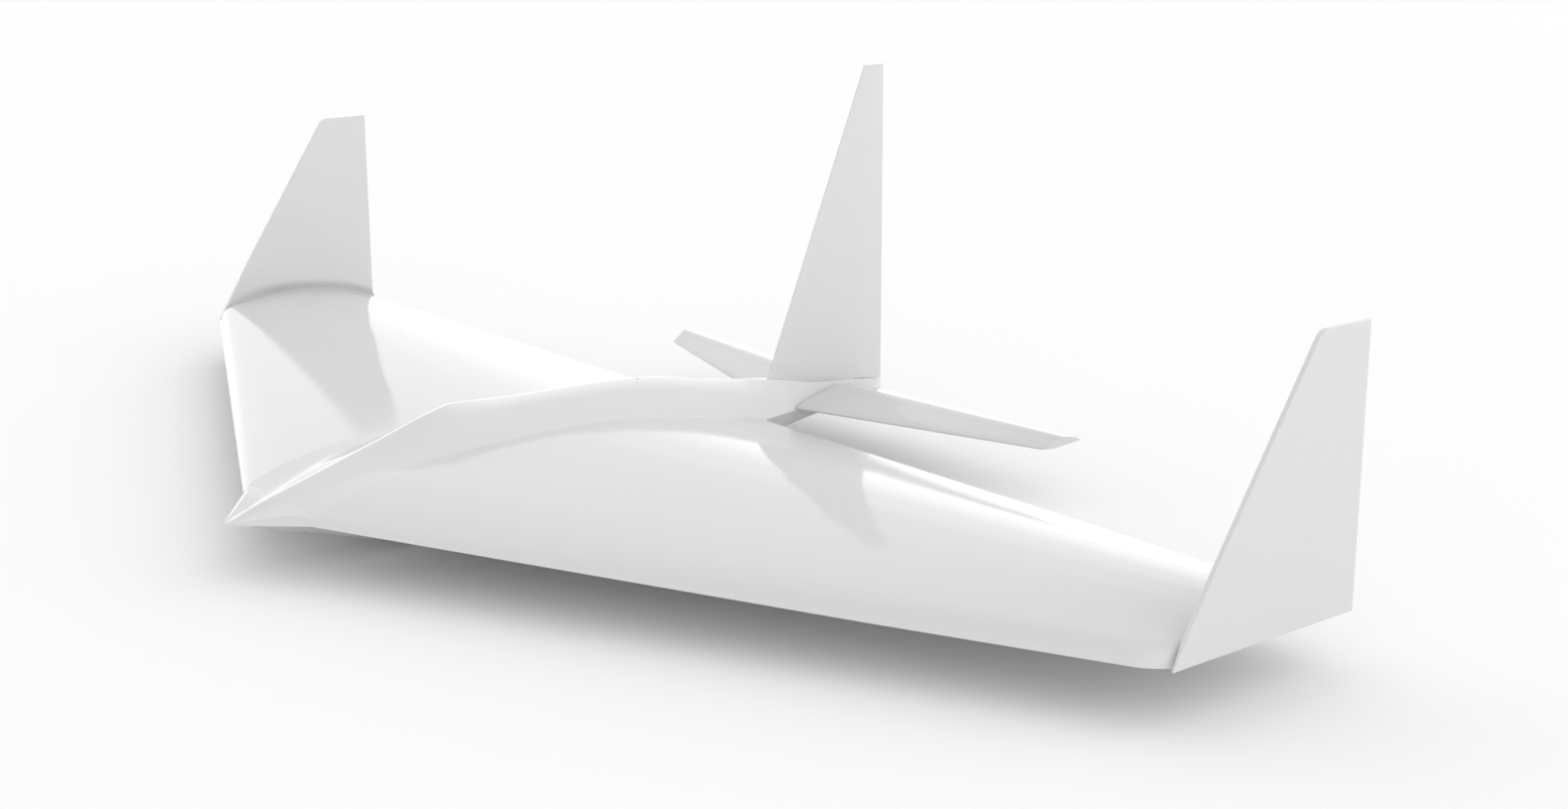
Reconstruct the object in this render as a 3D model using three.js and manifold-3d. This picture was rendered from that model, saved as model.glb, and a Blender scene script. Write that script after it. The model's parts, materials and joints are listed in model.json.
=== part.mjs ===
// Fixed wing drone, 1.2 m span. Millimetres, +Z up, nose towards -Y, port wing towards +X.
// The airframe is laid out on a flat datum plane (z = 0 before the final shift): nose tip, leading edges,
// trailing edges and winglet feet all lie on it. The belly hull hangs below, the dorsal ridge rises above.
import * as THREE from 'three';
import { mergeVertices } from 'three/addons/utils/BufferGeometryUtils.js';
import Module from 'manifold-3d';

const wasm = await Module();
wasm.setup();

// ---------------------------------------------------------------- driving dimensions (mm)
const HALF_SPAN = 600;          // centre line to winglet
const KINK = [50, 41.58];       // strake corner, x and y
const TIP_LE = 292.8;           // leading edge station at the tip
const TE = 459.3;               // straight trailing edge station
const STERN = 607;              // aft end of the boom
const BELLY = 36;               // depth of the hull under the datum
const GAP = 0.3;                // clearance between pieces that touch
const HINGE_GAP = 0.4;          // round nose hinge clearance
const WINGLET_T = 3.6;          // winglet thickness
const HINGE_T = 0.78;           // aileron hinge line, fraction of chord
const AIL_IN = 215, AIL_OUT = 556;   // aileron span, x at the hinge line
const FAN_R = 25;               // ducted fan blade radius
const FAN_Z = 6;                // ducted fan axis height
const HATCH_FRONT = 31, HATCH_REAR = 352;
const RUDDER_Y = 575;           // rudder hinge line
const Y_MID = 303.73;            // middle of the overall length

// tables along the length: station y -> value
const RIDGE = [[0,0],[7.9,3.8],[67.7,22.5],[174.2,54.7],[182.9,56.6],[237,53.4],[305.3,51.7],[340.7,50.2],[352,49.1],[363.2,48],[387,44.3],[399.5,41.2],[450.2,32.6],[483.6,27],[500,24],[520,19.5],[545,16],[575,13],[606.6,8.6]];
const SHOULDER_W = [[0,0],[20,5],[38,11],[70,22],[110,29],[150,32],[250,33],[360,31],[459,27]];
const SHOULDER_Z = [[0,0],[20,5],[38,10.3],[70,18.9],[87.5,22.8],[104,25.4],[125,27.4],[167,29.8],[209,31.6],[250,32.2],[292,31],[313,29.6],[334,26.8],[359,22.8],[388,16.8],[417.5,9.8],[438,6.1],[459.3,1.8]];
const DEPTH = [[0,0],[16,2.4],[24,5],[42,10],[60,13.5],[82,19.4],[120,30],[150,36],[360,36],[400,32],[459,21],[500,13],[530,9],[606,3.6]];
const KEEL_W = [[0,0],[24,6],[60,15],[90,20],[150,24],[360,24],[459,14],[530,8],[590,4],[606.6,1]];
const CHINE_W = [[0,0],[24,14],[42,26],[70,34],[150,39],[360,38],[459,26]];
const BOOM_W = [[459,27],[498,19.5],[530,15.5],[560,12.5],[590,9],[600,6],[606.6,2]];
// wing sections: chord fraction -> upper surface height
const ROOT_SEC = [[0,0],[.0096,8.5],[.025,13.5],[.063,19],[.11,22.8],[.15,25.4],[.2,27.4],[.3,29.8],[.4,31.6],[.5,32.2],[.6,31],[.65,29.6],[.7,26.8],[.76,22.8],[.83,16.8],[.9,9.8],[.95,6.1],[1,1.8]];
const TIP_SEC = [[0,0],[.0096,5],[.025,11],[.063,14.2],[.11,15.4],[.15,16.3],[.2,17.5],[.3,19.5],[.4,20.3],[.5,20],[.6,18.7],[.65,17.7],[.7,16.3],[.76,14.5],[.83,11.6],[.9,7.9],[.95,5],[1,1.5]];
// tailplane: chord fraction -> height
const TR_UP = [[0,3.6],[.04,7.2],[.15,11],[.35,14.4],[.58,15.8],[.8,11.4],[1,4.2]];
const TR_LO = [[0,3.6],[.04,2],[.3,0.2],[.6,.2],[.85,1.4],[1,2.8]];
const TT_UP = [[0,3.9],[.04,5.4],[.15,7.6],[.35,10.6],[.58,12],[.8,11],[1,8.9]];
const TT_LO = [[0,3.9],[.04,3.2],[.3,3.4],[.6,5],[.85,6.8],[1,7.9]];
const T_ROOT = [[20.5, 498], [13.5, 590.5]], T_TIP = [[233.4, 563.4], [243.6, 594]];
const ELEV_T = 0.66, ELEV_IN = 0.006, ELEV_OUT = 0.965;

// ---------------------------------------------------------------- helpers
const V = (x, y, z) => new THREE.Vector3(x, y, z);
const lerp = (a, b, t) => a + (b - a) * t;
function at(tab, v) {
  if (v <= tab[0][0]) return tab[0][1];
  for (let i = 1; i < tab.length; i++) if (v <= tab[i][0]) {
    const t = (v - tab[i - 1][0]) / (tab[i][0] - tab[i - 1][0]);
    return lerp(tab[i - 1][1], tab[i][1], t);
  }
  return tab[tab.length - 1][1];
}
function solid(geometry) {                      // closed BufferGeometry -> manifold solid
  let g = geometry.clone();
  for (const k of Object.keys(g.attributes)) if (k !== 'position') g.deleteAttribute(k);
  g = mergeVertices(g, 1e-4);
  const p = g.attributes.position.array, src = g.index.array, tri = [];
  for (let i = 0; i < src.length; i += 3) {
    const [a, b, c] = [src[i], src[i + 1], src[i + 2]];
    if (a !== b && b !== c && a !== c) tri.push(a, b, c);
  }
  let vol = 0;
  const P = (i) => V(p[3 * i], p[3 * i + 1], p[3 * i + 2]);
  for (let i = 0; i < tri.length; i += 3) vol += P(tri[i]).dot(P(tri[i + 1]).cross(P(tri[i + 2])));
  if (vol < 0) for (let i = 0; i < tri.length; i += 3) [tri[i], tri[i + 1]] = [tri[i + 1], tri[i]];
  return new wasm.Manifold(new wasm.Mesh({ numProp: 3, vertProperties: new Float32Array(p), triVerts: new Uint32Array(tri) }));
}
function geometryOf(m) {
  const mesh = m.getMesh();
  const n = mesh.vertProperties.length / mesh.numProp, pos = new Float32Array(3 * n);
  for (let i = 0; i < n; i++) for (let k = 0; k < 3; k++) pos[3 * i + k] = mesh.vertProperties[i * mesh.numProp + k];
  const g = new THREE.BufferGeometry();
  g.setAttribute('position', new THREE.BufferAttribute(pos, 3));
  g.setIndex(new THREE.BufferAttribute(new Uint32Array(mesh.triVerts), 1));
  g.computeVertexNormals();
  return g;
}
// surface lofted through closed rings of points (all the same length); a ring of one repeated point is a tip
function loft(rings) {
  const n = rings[0].length, pos = [], idx = [];
  rings.forEach((r) => r.forEach((p) => pos.push(...p)));
  for (let i = 0; i + 1 < rings.length; i++) for (let j = 0; j < n; j++) {
    const a = i * n + j, b = i * n + (j + 1) % n, c = a + n, d = b + n;
    idx.push(a, b, d, a, d, c);
  }
  const cap = (k, flip) => {
    const r = rings[k], c = r.reduce((s, p) => [s[0] + p[0] / n, s[1] + p[1] / n, s[2] + p[2] / n], [0, 0, 0]);
    if (r.every((p) => Math.hypot(p[0] - c[0], p[1] - c[1], p[2] - c[2]) < 1e-6)) return;
    const nn = V(0, 0, 0);
    for (let j = 0; j < n; j++) { const p = r[j], q = r[(j + 1) % n]; nn.x += (p[1] - q[1]) * (p[2] + q[2]); nn.y += (p[2] - q[2]) * (p[0] + q[0]); nn.z += (p[0] - q[0]) * (p[1] + q[1]); }
    nn.normalize();
    const u = Math.abs(nn.x) < 0.8 ? V(1, 0, 0) : V(0, 1, 0); u.addScaledVector(nn, -u.dot(nn)).normalize();
    const w = nn.clone().cross(u);
    const flat = r.map((p) => new THREE.Vector2(V(...p).dot(u), V(...p).dot(w)));
    const tris = THREE.ShapeUtils.triangulateShape(flat, []);
    for (const t of tris) idx.push(...(flip ? [k * n + t[0], k * n + t[1], k * n + t[2]] : [k * n + t[0], k * n + t[2], k * n + t[1]]));
  };
  cap(0, false); cap(rings.length - 1, true);
  const g = new THREE.BufferGeometry();
  g.setAttribute('position', new THREE.BufferAttribute(new Float32Array(pos), 3));
  g.setIndex(idx);
  return solid(g);
}
const place = (g, m) => { g.applyMatrix4(m); return g; };
function box(x0, x1, y0, y1, z0, z1) {
  const g = new THREE.BoxGeometry(x1 - x0, y1 - y0, z1 - z0); g.translate((x0 + x1) / 2, (y0 + y1) / 2, (z0 + z1) / 2); return solid(g);
}
function cyl(a, b, r0, r1 = r0, seg = 20) {     // round bar from point a to point b
  const A = V(...a), B = V(...b), d = B.clone().sub(A), g = new THREE.CylinderGeometry(r1, r0, d.length(), seg);
  const q = new THREE.Quaternion().setFromUnitVectors(V(0, 1, 0), d.clone().normalize());
  return solid(place(g, new THREE.Matrix4().compose(A.add(B).multiplyScalar(0.5), q, V(1, 1, 1))));
}
const ringTube = (a, b, ro, ri, seg = 28) => cyl(a, b, ro, ro, seg).subtract(cyl([0, 1, 2].map((k) => a[k] - (b[k] - a[k]) * 0.2), [0, 1, 2].map((k) => b[k] + (b[k] - a[k]) * 0.2), ri, ri, seg));
function prism(points, axis, a, b) {            // outline extruded along x, y or z
  const s = new THREE.Shape(points.map((p) => new THREE.Vector2(...p)));
  const g = new THREE.ExtrudeGeometry(s, { depth: b - a, bevelEnabled: false });
  g.translate(0, 0, a);
  const m = new THREE.Matrix4();
  if (axis === 'x') m.set(0, 0, 1, 0, 1, 0, 0, 0, 0, 1, 0, 0, 0, 0, 0, 1);        // (u, v, w) -> (w, u, v)
  else if (axis === 'y') m.set(1, 0, 0, 0, 0, 0, 1, 0, 0, 1, 0, 0, 0, 0, 0, 1);   // (u, v, w) -> (u, w, v)
  return solid(place(g, m));
}
const mirror = (m) => {                          // port piece -> starboard piece
  const g = geometryOf(m), p = g.attributes.position.array;
  for (let i = 0; i < p.length; i += 3) p[i] = -p[i];
  return solid(g);
};
const cube = (m) => m;

const drone = new THREE.Group();
drone.position.set(0, -Y_MID, BELLY);
const paint = {
  skin: [0xf4f4f2, 0.18, 0], carbon: [0x1c1d20, 0.4, 0], ply: [0xb8905c, 0.7, 0], metal: [0xb9bcc0, 0.3, 1], dark: [0x1e1f22, 0.55, 0],
  battery: [0x24303c, 0.45, 0], board: [0x123a2a, 0.5, 0], strap: [0x2b2b2e, 0.9, 0], servo: [0x18191c, 0.5, 0], foam: [0xe8e8e4, 0.8, 0],
};
const nodes = {};
function add(name, m, kind) {
  const [color, roughness, metalness] = paint[kind];
  const mesh = new THREE.Mesh(geometryOf(m), new THREE.MeshStandardMaterial({ color, roughness, metalness }));
  mesh.name = name;
  drone.add(mesh);
  nodes[name] = m;
}

// ---------------------------------------------------------------- wing surfaces
const yLE = (x) => { x = Math.abs(x); return x <= KINK[0] ? KINK[1] * x / KINK[0] : lerp(KINK[1], TIP_LE, (x - KINK[0]) / (HALF_SPAN - KINK[0])); };
const wingUp = (x, t) => lerp(at(ROOT_SEC, t), at(TIP_SEC, t), (Math.abs(x) - KINK[0]) / (HALF_SPAN - KINK[0]));
const wingT = (x, y) => (y - yLE(x)) / (TE - yLE(x));
const wingZ = (x, y) => wingUp(x, wingT(x, y));
function wingRing(x, inset = 0, t0 = 0, t1 = 1) {
  const ts = ROOT_SEC.map((p) => p[0]).filter((t) => t > t0 + 1e-6 && t < t1 - 1e-6), all = [t0, ...ts, t1], le = yLE(x), c = TE - le, ring = [];
  for (const t of all) ring.push([x, le + t * c, Math.max(wingUp(x, t) - inset, t === 0 ? 0 : inset + 0.05)]);
  for (const t of [...all].reverse()) if (t > 0 || inset) ring.push([x, le + t * c, inset]);
  return ring;
}
const hingePoint = (x) => { const y = yLE(x) + HINGE_T * (TE - yLE(x)); return [x, y, wingUp(x, HINGE_T) / 2]; };

// control surface hinged on a straight spanwise line, with a round nose centred on that line
function surfaceRings(A, B, s0, s1, up, lo, edge, gap, open) {
  const dx = B[0] - A[0], dy = B[1] - A[1], L = Math.hypot(dx, dy), u = [-dy / L, dx / L], e = [dx / L, dy / L], rings = [];
  for (const s of [s0, lerp(s0, s1, 0.25), lerp(s0, s1, 0.5), lerp(s0, s1, 0.75), s1]) {
    const cx = lerp(A[0], B[0], s), cy = lerp(A[1], B[1], s), zu = up(cx, cy), zl = lo(cx, cy), zc = (zu + zl) / 2, r = (zu - zl) / 2 + gap, ring = [];
    for (let k = 0; k <= 10; k++) { const a = Math.PI / 2 + Math.PI * k / 10; ring.push([cx + u[0] * r * Math.cos(a), cy + u[1] * r * Math.cos(a), zc + r * Math.sin(a)]); }
    if (open) { for (const [q, z] of [[0, -60], [open, -60], [open, 90], [0, 90]]) ring.push([cx + u[0] * q, cy + u[1] * q, z]); }
    else {
      const reach = (edge(cx, cy) - cy) / u[1];
      for (const f of [.25, .5, .75, 1]) { const q = f * reach, x = cx + u[0] * q, y = cy + u[1] * q; ring.push([x, y, lo(x, y)]); }
      for (const f of [1, .75, .5, .25]) { const q = f * reach, x = cx + u[0] * q, y = cy + u[1] * q; ring.push([x, y, up(x, y)]); }
    }
    rings.push(ring);
  }
  return rings;
}

// ---------------------------------------------------------------- centre body
function bodyRing(y) {
  const w = at(SHOULDER_W, y), zj = at(SHOULDER_Z, y), zr = at(RIDGE, y), d = at(DEPTH, y), b = at(KEEL_W, y);
  let xe, xf, zf;
  if (y < KINK[1]) { xe = y * KINK[0] / KINK[1]; xf = 0.95 * xe * 0.82; zf = 0.195 * y; if (y > 24) { xf = lerp(0.95 * xe * 0.82, 41, (y - 24) / 17.6); } }
  else { xe = KINK[0]; const z50 = wingZ(KINK[0], y); const k = Math.min(1, (y - KINK[1]) / 10); xf = lerp(41, 49.2, k); zf = Math.max(lerp(8.1, z50, k), 0); }
  const xm = (xf + w) / 2, zm = (zf + zj) / 2, hx = Math.min(at(CHINE_W, y), xe * 0.85);
  const z0 = y < KINK[1] ? 0 : 0, ze = y < KINK[1] ? 0 : Math.max(wingZ(KINK[0], y), 0);
  const top = [[xe, z0], [xe, y < KINK[1] + 0.01 ? 0.02 : ze], [xf, Math.max(zf, 0.02)], [xm, Math.max(zm, 0.03)], [w, zj]];
  const bottom = [[hx, 0], [b, -d]];
  const ring = [...top.map(([x, z]) => [x, y, z]), [0, y, zr], ...[...top].reverse().map(([x, z]) => [-x, y, z]), [-bottom[0][0], y, 0], [-b, y, -d], [b, y, -d], [hx, y, 0]];
  return ring;
}
const tipRing = (n) => Array.from({ length: n }, () => [0, 0, 0]);
const BODY_Y = [4, 10, 17, 24, 33, 41.5, 45.6, 52, 60, 70, 90, 110, 135, 160, 174.2, 183, 210, 250, 292, 320, 341, 352, 363, 388, 410, 435, TE];
const body = loft([tipRing(15), ...BODY_Y.map(bodyRing)]);
function cavityRing(y) {
  const w = at(SHOULDER_W, y) - 1.2, zj = at(SHOULDER_Z, y) - 2, zr = at(RIDGE, y) - 3, d = at(DEPTH, y) - 2, b = at(KEEL_W, y) - 1.5;
  const z50 = Math.max(wingZ(KINK[0], y) - 2.2, 2.4), xf = 47.6, hx = Math.min(at(CHINE_W, y), 50) - 2.4;
  const xi = y < 56 ? lerp(24, xf, Math.max(0, (y - 38) / 18)) : xf, zi = y < 56 ? lerp(5, z50, Math.max(0, (y - 38) / 18)) : z50;
  const top = [[xi, 1.8], [xi, zi], [(xi + w) / 2, (zi + zj) / 2], [w, zj]];
  return [...top.map(([x, z]) => [x, y, z]), [0, y, zr], ...[...top].reverse().map(([x, z]) => [-x, y, z]), [-Math.min(hx, xi - 1), y, 1.8], [-b, y, -d], [b, y, -d], [Math.min(hx, xi - 1), y, 1.8]];
}
const cavity = loft([38, 47, 56, 70, 90, 110, 135, 160, 174.2, 183, 210, 250, 292, 320, 341, 363, 388, 410, 428].map(cavityRing));
function coreRing(y, wt) {
  const w = (y <= 459 ? at(SHOULDER_W, y) : at(BOOM_W, y)) - wt, zr = at(RIDGE, y) - wt * 1.5, d = at(DEPTH, y) - wt, b = Math.max(at(KEEL_W, y) - wt * 0.8, 1);
  return [[w, y, 2.2], [3, y, zr - 1.5], [-3, y, zr - 1.5], [-w, y, 2.2], [-b, y, -d], [b, y, -d]];
}
const core = loft([415, 435, 459.3, 470].map((y) => coreRing(y, 2.1)));
const bodyShell = body.subtract(cavity).subtract(core);

// fan duct openings: intake in the belly, nozzle under the boom
const INTAKE = [-22, 22, 223, 273];
const hullAll = bodyShell.subtract(box(-80, 80, -10, 700, -0.15, 200)).subtract(box(INTAKE[0], INTAKE[1], INTAKE[2], INTAKE[3], -60, -20));
let deck = bodyShell.subtract(box(-80, 80, -10, 700, -200, 0.15));
// hatch: the ridge section between its two shoulder lines
const hatchOutline = (o, y0, y1) => {
  const ys = [y0, 38, 54, 70, 90, 110, 150, 200, 250, 300, 330, y1].filter((v, i, a) => v >= y0 && v <= y1);
  return [...ys.map((y) => [at(SHOULDER_W, y) + o, y]), ...[...ys].reverse().map((y) => [-at(SHOULDER_W, y) - o, y])];
};
const hatchCut = (o) => prism(hatchOutline(o - 0.5, HATCH_FRONT - o, HATCH_REAR + o), 'z', 1.9 - o, 120);
const pinAxis = [[-2.4, HATCH_REAR + 0.1, 47.4], [2.4, HATCH_REAR + 0.1, 47.4]];
const pinRoom = (r) => cyl(pinAxis[0], pinAxis[1], r, r, 20);
let hatch = deck.intersect(hatchCut(0)).subtract(pinRoom(1.85));
deck = deck.subtract(hatchCut(0.3)).subtract(pinRoom(2.05));
const largest = (m) => m.decompose().sort((a, b) => b.volume() - a.volume())[0];
hatch = largest(hatch);

// ---------------------------------------------------------------- wing panels
function wingPanel() {
  const xs = [50.3, 120, AIL_IN - 12, 300, 440, AIL_OUT + 6, HALF_SPAN - WINGLET_T + 0.1];
  let w = loft(xs.map((x) => wingRing(x)));
  const room = loft([49, 120, AIL_IN - 12, 300, 440, AIL_OUT - 20].map((x) => wingRing(Math.max(x, 49), 1.4, 0.055, 0.725)));
  w = w.subtract(room);
  const A = hingePoint(AIL_IN), B = hingePoint(AIL_OUT);
  w = w.subtract(loft(surfaceRings(A, B, -0.0015, 1.0015, wingZ, () => 0, null, HINGE_GAP, 130)));
  return { w, A, B };
}
let { w: wing, A: ailA, B: ailB } = wingPanel();
let aileron = loft(surfaceRings(ailA, ailB, 0, 1, wingZ, () => 0, () => TE, 0, 0));
const along = (s, A = ailA, B = ailB) => [0, 1, 2].map((k) => lerp(A[k], B[k], s));
// rotary drive: servo inboard of the aileron on its hinge line
const shaftIn = along(-0.075), shaftOut = along(0.16), pinIn = along(0.955), pinOut = along(1.05);
aileron = aileron.subtract(cyl(along(-0.02), along(0.165), 2.3, 2.3, 14)).subtract(cyl(along(0.95), along(1.02), 1.4, 1.4, 12));
wing = wing.subtract(cyl(along(-0.09), along(0.02), 2.6, 2.6, 14)).subtract(cyl(along(0.98), along(1.055), 1.4, 1.4, 12));
const sAx = along(-0.075);
const servoBox = (o) => box(sAx[0] - 27 - o, sAx[0] - 1 + o, sAx[1] - 19 - o, sAx[1] + 5 + o, 2.2 - o, 14.4 + o);
wing = wing.subtract(servoBox(0.4)).subtract(box(sAx[0] - 29, sAx[0] + 1, sAx[1] - 21, sAx[1] + 7, -1, 1.8));
const servoCover = box(sAx[0] - 28.7, sAx[0] + 0.7, sAx[1] - 20.7, sAx[1] + 6.7, 0, 1.2);
// main spar: tube on the 38 % line, from the root face into the outer panel
const sparPt = (x) => [x, yLE(x) + 0.38 * (TE - yLE(x)), 9.6];
const spar = ringTube(sparPt(53), sparPt(AIL_OUT - 24), 5.5, 4.3, 20);
const sparLine = (x) => { const a = sparPt(53), b = sparPt(AIL_OUT - 24), t = (x - a[0]) / (b[0] - a[0]); return [0, 1, 2].map((k) => lerp(a[k], b[k], t)); };
const joiner38 = cyl(sparLine(24), sparLine(116), 3.9, 3.9, 20);
add('wing_left', wing, 'skin'); add('wing_right', mirror(wing), 'skin');
add('aileron_left', aileron, 'skin'); add('aileron_right', mirror(aileron), 'skin');
const torque = cyl(along(-0.072), shaftOut, 2, 2, 14), outPin = cyl(pinIn, pinOut, 1.1, 1.1, 12);
add('aileron_torque_tube_left', torque, 'carbon'); add('aileron_torque_tube_right', mirror(torque), 'carbon');
add('aileron_end_pin_left', outPin, 'metal'); add('aileron_end_pin_right', mirror(outPin), 'metal');
add('aileron_servo_left', servoBox(0), 'servo'); add('aileron_servo_right', mirror(servoBox(0)), 'servo');
add('servo_cover_left', servoCover, 'skin'); add('servo_cover_right', mirror(servoCover), 'skin');
add('spar_joiner_left', joiner38, 'carbon'); add('spar_joiner_right', mirror(joiner38), 'carbon');
add('wing_spar_left', spar, 'carbon'); add('wing_spar_right', mirror(spar), 'carbon');

// winglets: flat plates, upright trailing edge, clipped top front corner
const wl0 = HALF_SPAN - WINGLET_T + 0.4, wl1 = HALF_SPAN + 0.4;
let winglet = prism([[292.8, 0], [458.6, 0], [458.6, 183.6], [416.6, 183.3], [409.3, 178.7], [324.4, 51.4]], 'x', wl0, wl1);
const dowelAt = [[355, 8.5], [430, 5.6]];        // blind dowels between wing tip and winglet
let tipBlock = winglet;
for (const [y, z] of dowelAt) tipBlock = tipBlock.subtract(cyl([wl0 - 5, y, z], [wl0 + 2.6, y, z], 1.9, 1.9, 14));
const dowel = (y, z) => cyl([wl0 - 10, y, z], [wl0 + 2.3, y, z], 1.6, 1.6, 14);
let wingFinal = nodes.wing_left;
for (const [y, z] of dowelAt) wingFinal = wingFinal.subtract(cyl([wl0 - 10.4, y, z], [wl0 + 1, y, z], 1.9, 1.9, 14));
drone.remove(drone.getObjectByName('wing_left')); drone.remove(drone.getObjectByName('wing_right'));
// rear locating pins and the spar sockets at the root
const rearPin = cyl([38, 395, 6.2], [62, 395, 6.2], 2, 2, 14), rearHole = cyl([30, 395, 6.2], [66, 395, 6.2], 2.3, 2.3, 14);
wingFinal = wingFinal.subtract(rearHole);
add('wing_left', wingFinal, 'skin'); add('wing_right', mirror(wingFinal), 'skin');
add('winglet_left', tipBlock, 'skin'); add('winglet_right', mirror(tipBlock), 'skin');
dowelAt.forEach(([y, z], i) => { const n = ['front', 'rear'][i]; add(`winglet_dowel_${n}_left`, dowel(y, z), 'carbon'); add(`winglet_dowel_${n}_right`, mirror(dowel(y, z)), 'carbon'); });
add('wing_pin_left', rearPin, 'carbon'); add('wing_pin_right', mirror(rearPin), 'carbon');

// ---------------------------------------------------------------- fuselage
const mirrorHole = mirror(rearHole);
const sparHole = cyl(sparLine(22), sparLine(60), 4.3, 4.3, 20);
deck = deck.subtract(rearHole).subtract(mirrorHole).subtract(sparHole).subtract(mirror(sparHole));
add('fuselage_upper_shell', largest(deck), 'skin');
add('fuselage_lower_hull', largest(hullAll), 'skin');
add('battery_hatch', hatch, 'skin');
const hingePin = cyl([-1.4, pinAxis[0][1], pinAxis[0][2]], [1.4, pinAxis[1][1], pinAxis[1][2]], 0.55, 0.55, 14);
add('hatch_hinge_pin', hingePin, 'metal');

function boomRing(y) {
  const w = at(BOOM_W, y), zr = at(RIDGE, y), d = at(DEPTH, y), b = at(KEEL_W, y), f = Math.min(4, 0.9 + (y - 459) * 0.12, w * 0.8);
  return [[w, y, 2], [f, y, zr], [-f, y, zr], [-w, y, 2], [-b, y, -d], [b, y, -d]];
}
const boomOuter = loft([TE + GAP, 483, 500, 520, 545, 575, 590, 600, STERN - 0.4].map(boomRing));
let boom = boomOuter.subtract(loft([TE - 2, 483, 500, 520, 545, 575, 588].map((y) => { const r = coreRing(Math.max(y, 459.1), 1.9); return r.map(([x, , z]) => [x, y, z]); })));
boom = boom.subtract(box(-14.2, 14.2, 463.8, 496, -40, -5.5));
// tailplane geometry
const trp = (t) => [lerp(T_ROOT[0][0], T_ROOT[1][0], t), lerp(T_ROOT[0][1], T_ROOT[1][1], t)], ttp = (t) => [lerp(T_TIP[0][0], T_TIP[1][0], t), lerp(T_TIP[0][1], T_TIP[1][1], t)];
const tailPos = (s, t) => { const a = trp(t), b = ttp(t); return [lerp(a[0], b[0], s), lerp(a[1], b[1], s)]; };
function tailParam(x, y) { let s = 0.5, t = 0.5; for (let i = 0; i < 30; i++) { const a = trp(t), b = ttp(t); s = (x - a[0]) / (b[0] - a[0]); const l = tailPos(s, 0)[1], r = tailPos(s, 1)[1]; t = (y - l) / (r - l); } return [s, t]; }
const tailUp = (x, y) => { const [s, t] = tailParam(x, y); return lerp(at(TR_UP, t), at(TT_UP, t), s); };
const tailLo = (x, y) => { const [s, t] = tailParam(x, y); return lerp(at(TR_LO, t), at(TT_LO, t), s); };
function tailRing(s) {
  const ring = [];
  for (const t of [0, .04, .15, .35, .58, .8, 1]) { const [x, y] = tailPos(s, t); ring.push([x, y, lerp(at(TR_UP, t), at(TT_UP, t), s)]); }
  for (const t of [1, .85, .6, .3, .04]) { const [x, y] = tailPos(s, t); ring.push([x, y, lerp(at(TR_LO, t), at(TT_LO, t), s)]); }
  return ring;
}
const elevPt = (s) => { const [x, y] = tailPos(s, ELEV_T); return [x, y, (tailUp(x, y) + tailLo(x, y)) / 2]; };
const eA = elevPt(0), eB = elevPt(1);
const eEdge = (x, y) => tailPos(tailParam(x, y)[0], 1)[1];
let elevator = loft(surfaceRings(eA, eB, ELEV_IN, ELEV_OUT, tailUp, tailLo, eEdge, 0, 0));
let stab = loft([0, 0.5, 1].map(tailRing)).subtract(loft(surfaceRings(eA, eB, -0.2, ELEV_OUT + 0.002, tailUp, tailLo, null, HINGE_GAP, 60)));
stab = largest(stab);
const tailRod = cyl([-95, 541, 7], [95, 541, 7], 1.8, 1.8, 14), tailRodHole = cyl([-98, 541, 7], [98, 541, 7], 2.1, 2.1, 14);
stab = stab.subtract(tailRodHole);
// elevator joiner: cross wire between the two halves, with a horn inside the boom
const jY = 559.2, jZ = 7.35, ARM = 7;
const joiner = cyl([-27, jY, jZ], [27, jY, jZ], 1.2, 1.2, 14).add(prism([[jY - 2.4, jZ + 1], [jY + 2.4, jZ + 1], [jY + 1.6, jZ - ARM - 1.6], [jY - 1.6, jZ - ARM - 1.6]], 'x', 1.4, 2.6)
  .subtract(cyl([0, jY, jZ - ARM], [4, jY, jZ - ARM], 0.8, 0.8, 10)));
elevator = elevator.subtract(cyl([12, jY, jZ], [29, jY, jZ], 1.9, 1.9, 14));
boom = boom.subtract(tailRodHole).subtract(cyl([-40, jY, jZ], [40, jY, jZ], 1.6, 1.6, 14));
boom = boom.subtract(cyl([0, RUDDER_Y, -1], [0, RUDDER_Y, 40], 1.9, 1.9, 14));
add('tail_boom', largest(boom), 'skin');
add('tailplane_left', stab, 'skin'); add('tailplane_right', mirror(stab), 'skin');
add('elevator_left', elevator, 'skin'); add('elevator_right', mirror(elevator), 'skin');
add('tailplane_spar', tailRod, 'carbon');
add('elevator_joiner', joiner, 'metal');

// fin and rudder
const finLE = (z) => lerp(483.6, 586.2, (z - 26.4) / (274.2 - 26.4)), finTE = (z) => lerp(607.2, 607, z / 274), finHalf = (z) => lerp(4.1, 1.6, Math.max(0, z) / 274);
function finRing(z, y0, y1) {
  const le = finLE(z), te = finTE(z), h = finHalf(z), c = te - le, ys = [0, .04, .15, .35, .6, 1], th = [0.35, .55, .85, 1, .92, .12], ring = [];
  ys.forEach((f, i) => ring.push([h * th[i], le + f * c, z])); [...ys].reverse().forEach((f, i) => ring.push([-h * th[ys.length - 1 - i], le + f * c, z]));
  return ring;
}
const finAll = loft([4, 60, 130, 200, 240, 274.2].map((z) => finRing(z)));
const boomTopCut = loft([460, 483.6, 500, 520, 545, 575, 606.6, 620].map((y) => { const z = at(RIDGE, y) + GAP; return [[30, y, z - 60], [30, y, z], [-30, y, z], [-30, y, z - 60]]; }));
const RUD_Z0 = 15.2, RUD_Z1 = 206;
const rNose = (z) => { const f = (RUDDER_Y - finLE(z)) / (finTE(z) - finLE(z)); return finHalf(z) * (f < .6 ? 1 : lerp(.92, .12, (f - .6) / .4)); };
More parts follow.
